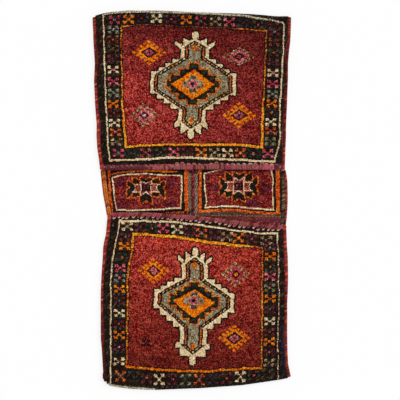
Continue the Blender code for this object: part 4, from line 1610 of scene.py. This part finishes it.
def make_mouth_hem(context, bag, side):
    """Half of the twined band along a bag's mouth."""
    name, outward = bag["name"], bag["outward"]
    rng = draws("mouth_hem")
    lip = shift(bag["hinge"], -outward * 0.0006)
    inner = shift(bag["hinge"], outward * (bag["hem"] + 0.0012))
    x, y = grid_places(in_bag(bag), lip, inner, *halves(side), *HEM_GRID)
    y = pout(bag, x, y)
    share = np.linspace(0, 1, HEM_GRID[0] + 1)[::outward, None]
    # Three twined cords side by side, with their stitches leaning in turn
    cord = np.floor(share * 3 - 1e-6)
    lean = np.where(np.mod(cord, 2) == 0, 1, -1)
    phase = x / 0.0046 + lean * (share * 3 - cord) * 0.9
    round_over = np.sqrt(np.clip(1 - (2 * (share * 3 - cord) - 1) ** 2, 0, 1))
    rise = 0.0016 * round_over * (0.45 + 0.55 * ridge(phase))
    edge = 0.0010 * np.exp(-((share / 0.10) ** 2))
    up = lip_rise(bag, x, y)
    top = raised(x, y, WEAVE_HIGH + 0.0006 + rise - edge + up)
    under = raised(x, y, WEAVE_HIGH - 0.0006 + up)
    stitch = np.floor(cell_middles(phase)).astype(int)
    colours = dyed(context, draw_hem(name, chart_column(cell_middles(x)), stitch), rng)
    # Each stitch of each cord is one yarn's turn, lighter or darker than the next
    light = draws("hem_stitches").normal(size=997)
    turn = stitch * 7 + (np.linspace(0, 2.99, HEM_GRID[0]).astype(int) * 131)[:, None]
    light = 1 + 0.22 * light[np.mod(turn, len(light))]
    colours = np.clip(colours * np.clip(light, 0.5, 1.6)[..., None], DARKEST, 0.9)
    piece = woven_piece(f"{name}_{side}_mouth_hem", top, under, colours, colours)
    return finish_half(piece, "mauve_weave", bag, side, "mouth_hem")


def make_loop_chain(context, bag, side):
    """Half of the row of closing loops that stand along a bag's mouth."""
    sizes = context.scene.saddlebag_sizes
    rng = draws(f"{side}_loops")
    table = yarn_table(context)
    far = abs(meets(in_bag(bag), (side, 0.0130), bag["hinge"]))
    pitch = sizes.loop_pitch * bag["loops"]["pitch"]
    cord = sizes.loop_cord * bag["loops"]["cord"]
    # In the upper bag the cord comes back inside each loop, so that it is nearly filled
    turns = (1.0, 0.46) if bag["name"] == "upper" else (1.0,)
    rolls = []
    for number in range(int((far - pitch / 2) / pitch) + 1):
        place = SIDES[side][1] * (pitch * (number + 0.5)) + rng.normal() * 0.05 * pitch
        for inner in turns:
            rolls.append(loop_roll(bag, place, pitch, cord, table, rng, inner))
    piece = joined_rolls(f"{bag['name']}_{side}_loop_chain", rolls)
    return finish_half(piece, "mauve_weave", bag, side, "loop_chain")


def loop_roll(bag, place, pitch, thickness, table, rng, inner):
    """One loop of two-ply cord: up one leg, round the head and down the other."""
    loops = bag["loops"]
    column = chart_column(place)
    quiet = bag["name"] == "upper" and column < 176
    t = np.linspace(0, 1, 26)
    reach = loops["reach"] * (0.62 if quiet else 1.0) * (1 + 0.09 * rng.normal())
    reach *= 0.78 + 0.22 * inner
    width = pitch * (loops["wide"] + 0.03 * rng.normal()) * inner
    across = width * np.sin((t - 0.5) * np.pi * 1.16) / np.sin(0.58 * np.pi)
    rise = reach * np.clip(np.sin(np.pi * t), 0, 1) ** 0.55
    across += (loops["lean"] + 0.10 * rng.normal()) * rise + 0.0012 * (1 - rise / reach)
    line_y, slope = bag["hinge"]
    x = place + across
    y = pout(bag, x, line_y + slope * x + bag["outward"] * (rise - 0.0008))
    over_pile = np.clip((rise - bag["hem"] + 0.003) / 0.004, 0, 1)
    z = 0.0172 + 0.0027 * over_pile + 0.0004 * np.cos(2 * np.pi * t)
    z = np.where(rise < 0.003, z - 0.0012, z) + lip_rise(bag, x, y)
    rings, phase = tube_rings(raised(x, y, z), thickness / 2, 10, 190, 0.16)
    leg = rng.choice(("mauve", "mauve", "plum_red", "pink"))
    for start, end, yarn in HEM_PATCHES[bag["name"]]:
        if start <= column <= end:
            leg = yarn
    # Painted highlight: on some loops the head is mixed towards pale pink
    head = table[YARN_NUMBER["pale_pink"]] * (loops["tip"] + 0.35 * rng.random())
    strength = 1.0 if rng.random() < (0.08 if quiet else loops["pale"]) else 0.15
    pale = (np.clip((rise / reach - 0.78) / 0.16, 0, 1) * strength)[:-1, None]
    colours = table[YARN_NUMBER[leg]] * (1 - pale) + head * pale
    # Painted shade in the grooves between the cord's plies
    painted_ply_shade = 0.62 + 0.5 * (0.5 + 0.5 * np.cos(phase[:-1]))
    return rings, np.clip(colours[:, None, :] * painted_ply_shade[..., None], DARKEST, LIGHTEST)


def make_back_cloth(context, bag):
    """A bag's back, flat woven, which runs on over the fold to the bridge."""
    name, outward = bag["name"], bag["outward"]
    rng = draws("back")
    start = shift(bag["hinge"], -outward * BEND)
    end = shift(turn_centre(bag), -outward * 0.0002)
    x, y = grid_places(on_bag(bag), start, end, ("left", TUCK), ("right", TUCK), *BACK_GRID)
    y = settle(bag, x, y)
    grids = ribbed(x, y, 0.0, BACK_THICKNESS, 0.0002, 0.0048)
    inner = dyed(context, np.full(BACK_GRID, YARN_NUMBER["plum_red"]), rng)
    bands = draw_back(chart_column(cell_middles(x)), chart_row(cell_middles(y)))
    piece = woven_piece(f"{name}_back", *grids, inner, dyed(context, bands, rng))
    finish_piece(piece, "red_weave", f"{name}_back_cloth")
    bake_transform(piece)
    return piece


def make_bridge_ground(context):
    """The flat weave between the two bags."""
    start = shift(BAGS["upper"]["hinge"], -BEND + 0.0002)
    end = shift(BAGS["lower"]["hinge"], BEND - 0.0002)
    x, y = grid_places(bridge_side, start, end, ("left", 0.012), ("right", 0.012), *GROUND_GRID)
    grids = ribbed(x, y, 0.0, BACK_THICKNESS, 0.00025, 0.0044)
    numbers = draw_ground(chart_column(cell_middles(x)), chart_row(cell_middles(y)))
    colours = dyed(context, numbers, draws("ground"))
    piece = woven_piece("bridge_ground", *grids, colours, colours)
    return finish_piece(piece, "red_weave", "bridge_ground_cloth", "bridge")


def make_pile_panel(context, side):
    """One of the bridge's two squares of knotted pile."""
    rng = draws(f"{side}_panel")
    ends = PANELS[side]["ends"]
    start, end = (((CHART_MIDDLE[1] - row) * CHART_UNIT, slope) for row, slope in ends)
    if side == "left":
        edges = (("left", BRAID_WIDTH + 0.0004), STRIP_MIDDLE - STRIP_WIDTH / 2)
    else:
        edges = (STRIP_MIDDLE + STRIP_WIDTH / 2, ("right", EDGE_CORD_WIDTH + GREY_WIDTH + 0.0010))
    counts = knot_counts(context, *PANEL_SIZE)
    x, y = grid_places(bridge_side, start, end, *edges, *counts)
    x, y = loosened(x, y, context.scene.saddlebag_sizes.knot_width, 0.14, rng)
    from_end, from_side = (np.minimum(np.arange(n + 1), np.arange(n + 1)[::-1]) for n in counts)
    drop = 0.0014 * np.exp(-(np.minimum(from_end[:, None], from_side) ** 2) / 1.2)
    corners = raised(x, y, PANEL_HIGH - TUFT_HEIGHT + 0.5 * swell(x, y) - drop)
    tips = cell_middles(corners)
    tips[..., 2] += TUFT_HEIGHT * (1 + 0.2 * rng.normal(size=tips.shape[:2]))
    column, row = chart_column(tips[..., 0]), chart_row(tips[..., 1])
    numbers = draw_panel(side, column, row)
    field = (numbers == YARN_NUMBER["madder"]) | (numbers == YARN_NUMBER["purple_madder"])
    streaks = 0.70 + 0.10 * np.sin(row * 0.8 + column * 0.07) + 0.08 * np.sin(column * 0.33)
    colours = dyed(context, numbers, rng, np.where(field, streaks, 1.0))
    grids = corners, tips, raised(x, y, PANEL_LOW - 0.0006)
    piece = piled(context, f"bridge_{side}_pile", grids, colours)
    return finish_piece(piece, "madder_pile", f"bridge_{side}_pile_panel", "bridge")


def strip_rings(points, ways, widths, tops, bases, around, pitch, stitch):
    """Rings of a stitched roll along points: an oval on its base, with a ridge for each stitch."""
    lengths = lengths_along(points)
    turn = np.linspace(0, 2 * np.pi, around, endpoint=False)
    # Rising from the floor, over the top and down again, counter-clockwise from behind
    across, up = np.cos(turn), np.sin(turn)
    flat = np.sign(across) * np.abs(across) ** 0.8
    tall = np.sign(up) * np.abs(up) ** 0.8
    phase = stitch(lengths[:, None] / pitch, flat[None, :])
    swell_out = 1 + 0.14 * (ridge(phase) - 0.7)
    end = np.minimum(lengths, lengths[-1] - lengths)
    taper = np.sqrt(np.clip(end / 0.0025, 0.12, 1))[:, None]
    side = flat[None, :] * widths[:, None] / 2 * (0.6 + 0.4 * swell_out) * taper
    half = (tops - bases)[:, None] / 2
    rise = bases[:, None] + half + tall[None, :] * half * swell_out * taper
    x = points[:, 0:1] + side * ways[:, 0:1]
    y = points[:, 1:2] + side * ways[:, 1:2]
    return np.stack([x, y, rise], axis=-1), phase, flat


def stitch_colours(context, phase, yarns, rng):
    """Each stitch of a roll in its yarn, with painted shade in the dips between stitches."""
    number = np.floor(phase[:-1]).astype(int)
    lights = rng.normal(size=1009)
    names = np.array([YARN_NUMBER[yarn] for yarn in yarns.split()])
    picks = rng.integers(0, len(names), size=len(lights))
    colours = yarn_table(context)[names[picks[np.mod(number * 7, len(lights))]]]
    light = np.exp(0.38 * lights[np.mod(number * 13, len(lights))])
    # Painted shade: each stitch darkens from its crest down into the dips on either side
    light = light * (0.16 + 1.10 * ridge(phase[:-1]) ** 1.4)
    return np.clip(colours * light[..., None], DARKEST, LIGHTEST)


def leaning(lean):
    """Stitches that lean across their roll by so many pitches from its middle to its edge."""
    return lambda turns, across: turns + lean * across


def herringbone(turns, across):
    """The braid's stitches lean out from its middle line, and meet there half a stitch apart."""
    return turns + 2.3 * np.abs(across - 0.05) + 0.5 * (across > 0.05)


def braid_tint(y, across):
    """The braid is dark where its rows meet and along its inner edge, and crimson on its outer one."""
    meet = 1 - 0.45 * np.exp(-((across / 0.10) ** 2)) - 0.85 * np.clip((-0.62 - across) / 0.2, 0, 1)
    outer = np.clip((across - 0.45) / 0.25, 0, 1)
    tint = [meet - loss * outer for loss in (0.42, 0.80, 0.55)]
    return np.clip(np.stack(tint, axis=-1), 0.06, 1)


def grey_tint(y, across):
    """The grey strip darkens towards both its edges."""
    return (1 - 0.6 * np.abs(across) ** 4)[:, None]


def make_strip(
    context, name, slot, node, body, side_x, ends, middle, shape, stitch, yarns, seed, tint=None, bag=None
):
    """A stitched strip down one edge of the bag or bridge."""
    width, height, base, around, step, pitch = shape
    line_from, line_to = ends
    count = max(8, round(abs(line_to[0] - line_from[0]) / step))
    t = np.linspace(0, 1, count)
    middles = line_from[0] + (line_to[0] - line_from[0]) * t
    slopes = line_from[1] + (line_to[1] - line_from[1]) * t
    x = edge_x(side_x, middle, middles, slopes)
    y = middles + slopes * x
    widths = np.full(count, width)
    tops = np.full(count, base + height)
    bases = np.full(count, base)
    if bag:
        more = binding_more(bag, middle[0], y)
        widths = widths + more
        x = x - SIDES[middle[0]][1] * more / 2
        y = settle(bag, x, y)
        # Past the fold the roll leaves the back and runs on above the bridge's edge
        inward = (y - bag["hinge"][0]) * bag["outward"]
        inward -= bag["hinge"][1] * x * bag["outward"]
        up = lip_rise(bag, x, y)
        bases = BINDING_OVER_BRIDGE * (1 - np.clip((inward - 0.0012) / 0.003, 0, 1)) + up
        tops = tops + up
    ways = np.stack([np.ones(count), slopes], axis=-1)
    if y[-1] > y[0]:
        ways = -ways
    points = np.stack([x, y], axis=-1)
    rings, phase, flat = strip_rings(points, ways, widths, tops, bases, around, pitch, stitch)
    colours = stitch_colours(context, phase, yarns, np.random.default_rng(seed))
    if tint:
        colours = np.clip(colours * tint(y[:-1], flat), DARKEST, LIGHTEST)
    finish_piece(joined_rolls(name, [(rings, colours)]), slot, node, body)


def make_binding(context, bag, side):
    """The overcast roll down one side of a bag."""
    name, outward = bag["name"], bag["outward"]
    pitch = context.scene.saddlebag_sizes.stitch_pitch
    make_strip(
        context,
        f"{name}_{side}_overcast",
        "red_overcast",
        f"{name}_{side}_binding",
        f"{name}_bag",
        on_bag(bag),
        (shift(bag["hinge"], -outward * bag["corner"]), shift(bag["fold"], -outward * 0.0025)),
        (side, BINDING_WIDTH / 2),
        (BINDING_WIDTH, BINDING_HEIGHT, 0.0, 20, pitch / 6, pitch),
        leaning(0.45),
        "overcast_red overcast_crimson overcast_red overcast_rust overcast_crimson",
        91,
        lambda y, across: along(BINDING_LIGHT[name][side], chart_row(y))[:, None, None],
        bag,
    )


# The strips along the bridge: piece, slot and node; where the middle runs; width, height, base, points
# round, step and stitch pitch; how the stitches lean; yarns; seed; and how the light differs across
BRIDGE_STRIPS = (
    (
        "bridge_left_herringbone", "orange_braid", "bridge_left_braid",
        ("left", BRAID_WIDTH / 2), (BRAID_WIDTH, BRAID_THICKNESS, 0.0002, 28, 0.0034 / 7, 0.0034),
        herringbone, "braid_orange braid_orange braid_red line_orange braid_orange", 101, braid_tint,
    ),
    (
        "bridge_grey_strip", "grey_weave", "bridge_right_braid",
        ("right", EDGE_CORD_WIDTH + GREY_WIDTH / 2),
        (GREY_WIDTH + 0.0008, GREY_THICKNESS, 0.0002, 20, 0.0006, 0.0025),
        leaning(0.9), "undyed_brown olive overcast_dark undyed_grey charcoal undyed_brown", 102, grey_tint,
    ),
    (
        "bridge_right_overcast", "red_overcast", "bridge_right_cord",
        ("right", EDGE_CORD_WIDTH / 2), (EDGE_CORD_WIDTH, EDGE_CORD_HEIGHT, 0.0, 16, 0.0007, 0.0030),
        leaning(0.7), "overcast_red overcast_dark overcast_crimson overcast_rust", 103, None,
    ),
    (
        "bridge_seam_twist", "plum_cord", "bridge_seam_cord",
        STRIP_MIDDLE, (0.0062, 0.0036, 0.0029, 14, 0.0007, 0.0048),
        leaning(0.8), "plum plum_red crimson overcast_dark", 104, None,
    ),
)
# The small knots: piece, node, body, slot, yarn and seed
KNOTS = (
    ("lower_binding_yarn_knot", "lower_binding_knot", "lower_bag", "red_overcast", "overcast_red", 7),
    ("bridge_thread_end_knot", "bridge_thread_knot", "bridge", "dark_yarn", "overcast_dark", 8),
)
# How many yarns a tuft has, and the share of a turn from each to the next, which spreads them evenly
TUFT_YARNS = 22
TUFT_TURN = 0.382


def make_tuft(context, bag):
    """A bundle of loose yarn ends on the outer end of a binding."""
    name = bag["name"]
    rng = np.random.default_rng(bag["tuft_seed"])
    table = yarn_table(context)
    low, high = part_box(f"{name}_corner_tuft")
    start_y, end_y = (low[1], high[1])[:: bag["outward"]]
    middle_x = (low[0] + high[0]) / 2
    t = np.linspace(0, 1, 9)
    fan = 0.35 + 0.9 * t
    rolls = []
    for number in range(TUFT_YARNS):
        angle = 2 * math.pi * number * TUFT_TURN
        reach = 0.0030 * math.sqrt((number + 0.5) / TUFT_YARNS)
        x = middle_x + reach * math.cos(angle) * fan + 0.0006 * np.sin(5 * t + angle)
        length = 0.9 + 0.2 * rng.random()
        y = settle(bag, x, start_y + (end_y - start_y) * t * length)
        z = 0.0178 + reach * math.sin(angle) * fan + 0.0004 * np.sin(4 * t + 2 * angle)
        path = raised(x, y, np.maximum(z, 0.0148))
        rings, _ = tube_rings(path, 0.00075 * (1 - 0.45 * t), 6, 300, 0.12)
        yarn = ("overcast_dark", "black", "overcast_red", "black")[number % 4]
        shade = table[YARN_NUMBER[yarn]] * (0.8 + 0.4 * rng.random())
        rolls.append((rings, np.broadcast_to(shade, (8, 6, 3))))
    finish_piece(
        joined_rolls(f"{name}_yarn_tuft", rolls), "dark_yarn", f"{name}_corner_tuft", f"{name}_bag"
    )


def make_knot(context, name, node, body, slot, yarn, seed):
    """A small tied knot: three turns of yarn round one another."""
    rng = np.random.default_rng(seed)
    table = yarn_table(context)
    low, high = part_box(node)
    middle = np.array([(low[i] + high[i]) / 2 for i in range(3)])
    size = (high[2] - low[2]) / 2
    t = np.linspace(0, 2 * np.pi, 25)
    rolls = []
    for tilt in (0.3, 1.35, 2.4):
        ring = np.stack([np.cos(t), np.sin(t) * math.cos(tilt), np.sin(t) * math.sin(tilt)], axis=-1)
        rings, phase = tube_rings(middle + ring * size * 0.66, size * 0.36, 8, 260, 0.14)
        shade = table[YARN_NUMBER[yarn]] * (0.9 + 0.25 * rng.random())
        # Painted shade in the grooves between the plies, lighter on their crests
        colours = shade * (0.8 + 0.3 * np.cos(phase[:-1]))[..., None]
        rolls.append((rings, np.clip(colours, DARKEST, 0.9)))
    finish_piece(joined_rolls(name, rolls), slot, node, body)


# The stage in metres and degrees: the floor's size and drop, the sun's turn and spread, the camera
FLOOR_SIZE = 12
FLOOR_DROP = -0.0006
SUN_TURN = (-24, 34, 0)
SUN_SPREAD = 35
CAMERA_PLACE = (0.02465, -0.00145, 3.2412)
CAMERA_LENS = 100
CAMERA_SENSOR = 36
WHITE = (1, 1, 1, 1)


class StageOperator(bpy.types.Operator):
    """Make the pale floor, the soft light and the camera that looks straight down"""

    bl_idname = "saddlebag.stage"
    bl_label = "Floor, light and camera"

    def execute(self, context):
        sizes = context.scene.saddlebag_sizes
        bpy.ops.mesh.primitive_plane_add(size=FLOOR_SIZE, location=(0, 0, FLOOR_DROP))
        floor = context.object
        floor.name = "floor"
        material = bpy.data.materials.new("white_paper_floor")
        tree = empty_tree(material)
        seen = add_node(tree, "ShaderNodeLightPath", None, "Is Camera Ray")
        share = combined(tree, "MULTIPLY", seen, 0.80)
        paper = add_node(tree, "ShaderNodeBsdfDiffuse", {"Color": (0.94, 0.94, 0.94, 1)}, "BSDF")
        white = add_node(tree, "ShaderNodeEmission", {"Color": WHITE, "Strength": 1.02}, "Emission")
        mixed = add_node(tree, "ShaderNodeMixShader", {"Fac": share, 1: paper, 2: white}, "Shader")
        add_node(tree, "ShaderNodeOutputMaterial", {"Surface": mixed})
        floor.data.materials.append(material)
        world = bpy.data.worlds.new("soft_daylight")
        context.scene.world = world
        tree = empty_tree(world)
        path = add_node(tree, "ShaderNodeLightPath").outputs
        plain, bright = (
            add_node(tree, "ShaderNodeBackground", {"Color": WHITE, "Strength": strength}, "Background")
            for strength in (sizes.sky_light, 1.0)
        )
        either = combined(tree, "MAXIMUM", path["Is Camera Ray"], path["Is Glossy Ray"])
        all_seen = combined(tree, "MAXIMUM", either, path["Is Transmission Ray"])
        mixed = add_node(tree, "ShaderNodeMixShader", {"Fac": all_seen, 1: plain, 2: bright}, "Shader")
        add_node(tree, "ShaderNodeOutputWorld", {"Surface": mixed})
        bpy.ops.object.light_add(type="SUN", rotation=[math.radians(turn) for turn in SUN_TURN])
        sun = context.object
        sun.name = "soft_window_light"
        sun.data.energy = sizes.sun_light
        sun.data.angle = math.radians(SUN_SPREAD)
        bpy.ops.object.camera_add(location=CAMERA_PLACE, rotation=(0, 0, 0))
        camera = context.object
        camera.name = "photo_camera"
        camera.data.lens = CAMERA_LENS
        camera.data.sensor_width = CAMERA_SENSOR
        context.scene.camera = camera
        context.scene.view_settings.view_transform = "Standard"
        return {"FINISHED"}


class BackOperator(bpy.types.Operator):
    """Make the flat-woven backs of both bags, with their plain bands"""

    bl_idname = "saddlebag.backs"
    bl_label = "Back cloths"

    def execute(self, context):
        for name, bag in BAGS.items():
            piece = make_back_cloth(context, bag)
        return {"FINISHED"}


class FrontOperator(bpy.types.Operator):
    """Make the piled fronts of both bags: ground weave, knots, hem and closing loops"""

    bl_idname = "saddlebag.fronts"
    bl_label = "Piled fronts"

    def execute(self, context):
        for name, bag in BAGS.items():
            for side in SIDES:
                weave = make_front_weave(context, bag, side)
                pile = make_front_pile(context, bag, side)
                hem = make_mouth_hem(context, bag, side)
                loops = make_loop_chain(context, bag, side)
        return {"FINISHED"}


class TurnOperator(bpy.types.Operator):
    """Make the piled edge that turns round the outer end of each bag"""

    bl_idname = "saddlebag.turned_edges"
    bl_label = "Turned edges"

    def execute(self, context):
        for bag in BAGS.values():
            make_turned_edge(context, bag)
        return {"FINISHED"}


class BindingOperator(bpy.types.Operator):
    """Make the overcast rolls down the sides of both bags"""

    bl_idname = "saddlebag.bindings"
    bl_label = "Side bindings"

    def execute(self, context):
        for bag in BAGS.values():
            for side in SIDES:
                make_binding(context, bag, side)
        return {"FINISHED"}


class BridgeOperator(bpy.types.Operator):
    """Make the bridge's flat weave and its two star panels"""

    bl_idname = "saddlebag.bridge"
    bl_label = "Bridge cloth and panels"

    def execute(self, context):
        ground = make_bridge_ground(context)
        panels = [make_pile_panel(context, side) for side in SIDES]
        return {"FINISHED"}


class EdgeOperator(bpy.types.Operator):
    """Make the bridge's braid, grey strip, edge cord and seam cord"""

    bl_idname = "saddlebag.bridge_edges"
    bl_label = "Bridge edges and seam"

    def execute(self, context):
        foot = shift(BAGS["lower"]["hinge"], EDGE_SETBACK)
        top = shift(BAGS["upper"]["hinge"], -EDGE_SETBACK)
        for name, slot, node, *strip in BRIDGE_STRIPS:
            make_strip(context, name, slot, node, "bridge", bridge_side, (foot, top), *strip)
        return {"FINISHED"}


class TrimOperator(bpy.types.Operator):
    """Make the loose yarn: corner tufts, the knot on a binding and the thread knot"""

    bl_idname = "saddlebag.loose_yarn"
    bl_label = "Tufts and knots"

    def execute(self, context):
        for bag in BAGS.values():
            make_tuft(context, bag)
        for knot in KNOTS:
            make_knot(context, *knot)
        return {"FINISHED"}


class SaddlebagSizes(bpy.types.PropertyGroup):
    """Sizes of the yarns and the strength of the light"""

    knot_width: FloatProperty(
        name="Knot width", description="Width of one knot of the pile", default=0.0023,
        min=0.001, unit="LENGTH",
    )
    knot_height: FloatProperty(
        name="Knot height", description="Height of one knot along the bag", default=0.0023,
        min=0.001, unit="LENGTH",
    )
    stitch_pitch: FloatProperty(
        name="Stitch pitch", description="Distance between overcast stitches", default=0.0040,
        min=0.001, unit="LENGTH",
    )
    loop_pitch: FloatProperty(
        name="Loop pitch", description="Distance between closing loops", default=0.0200,
        min=0.005, unit="LENGTH",
    )
    loop_cord: FloatProperty(
        name="Loop cord", description="Diameter of the closing loops' cord", default=0.0030,
        min=0.001, unit="LENGTH",
    )
    sky_light: FloatProperty(
        name="Sky light", description="Strength of the even light from all round", default=0.62, min=0,
    )
    sun_light: FloatProperty(
        name="Window light", description="Strength of the soft light from one side", default=1.35, min=0,
    )


class SaddlebagYarns(bpy.types.PropertyGroup):
    """Colours of the wool yarns"""

    __annotations__ = {
        name: FloatVectorProperty(
            name=name.replace("_", " ").capitalize(),
            description=f"Colour of the {name.replace('_', ' ')} yarn",
            default=linear(value),
            size=3,
            min=0,
            max=1,
            subtype="COLOR",
        )
        for name, value in YARNS.items()
    }


class SaddlebagPanel(bpy.types.Panel):
    """Lists the steps that dress the saddlebag, and its sizes and yarns"""

    bl_idname = "VIEW3D_PT_saddlebag"
    bl_label = "Saddlebag"
    bl_space_type = "VIEW_3D"
    bl_region_type = "UI"
    bl_category = "Saddlebag"

    def draw(self, context):
        for step in STEPS:
            self.layout.operator(step.bl_idname)
        for group, settings in (
            (SaddlebagSizes, context.scene.saddlebag_sizes),
            (SaddlebagYarns, context.scene.saddlebag_yarns),
        ):
            for name in group.__annotations__:
                self.layout.prop(settings, name)


# The back cloths and the bridge come last
STEPS = (
    StageOperator,
    FrontOperator,
    TurnOperator,
    BindingOperator,
    EdgeOperator,
    TrimOperator,
    BackOperator,
    BridgeOperator,
)
CLASSES = (SaddlebagSizes, SaddlebagYarns, *STEPS, SaddlebagPanel)


def register():
    for item in CLASSES:
        bpy.utils.register_class(item)
    bpy.types.Scene.saddlebag_sizes = PointerProperty(type=SaddlebagSizes)
    bpy.types.Scene.saddlebag_yarns = PointerProperty(type=SaddlebagYarns)


def unregister():
    del bpy.types.Scene.saddlebag_yarns
    del bpy.types.Scene.saddlebag_sizes
    for item in reversed(CLASSES):
        bpy.utils.unregister_class(item)


def main():
    register()
    bpy.ops.object.select_all(action="DESELECT")
    for step in STEPS:
        group, operator = step.bl_idname.split(".")
        getattr(getattr(bpy.ops, group), operator)()
        bpy.ops.object.select_all(action="DESELECT")


if __name__ == "__main__":
    main()
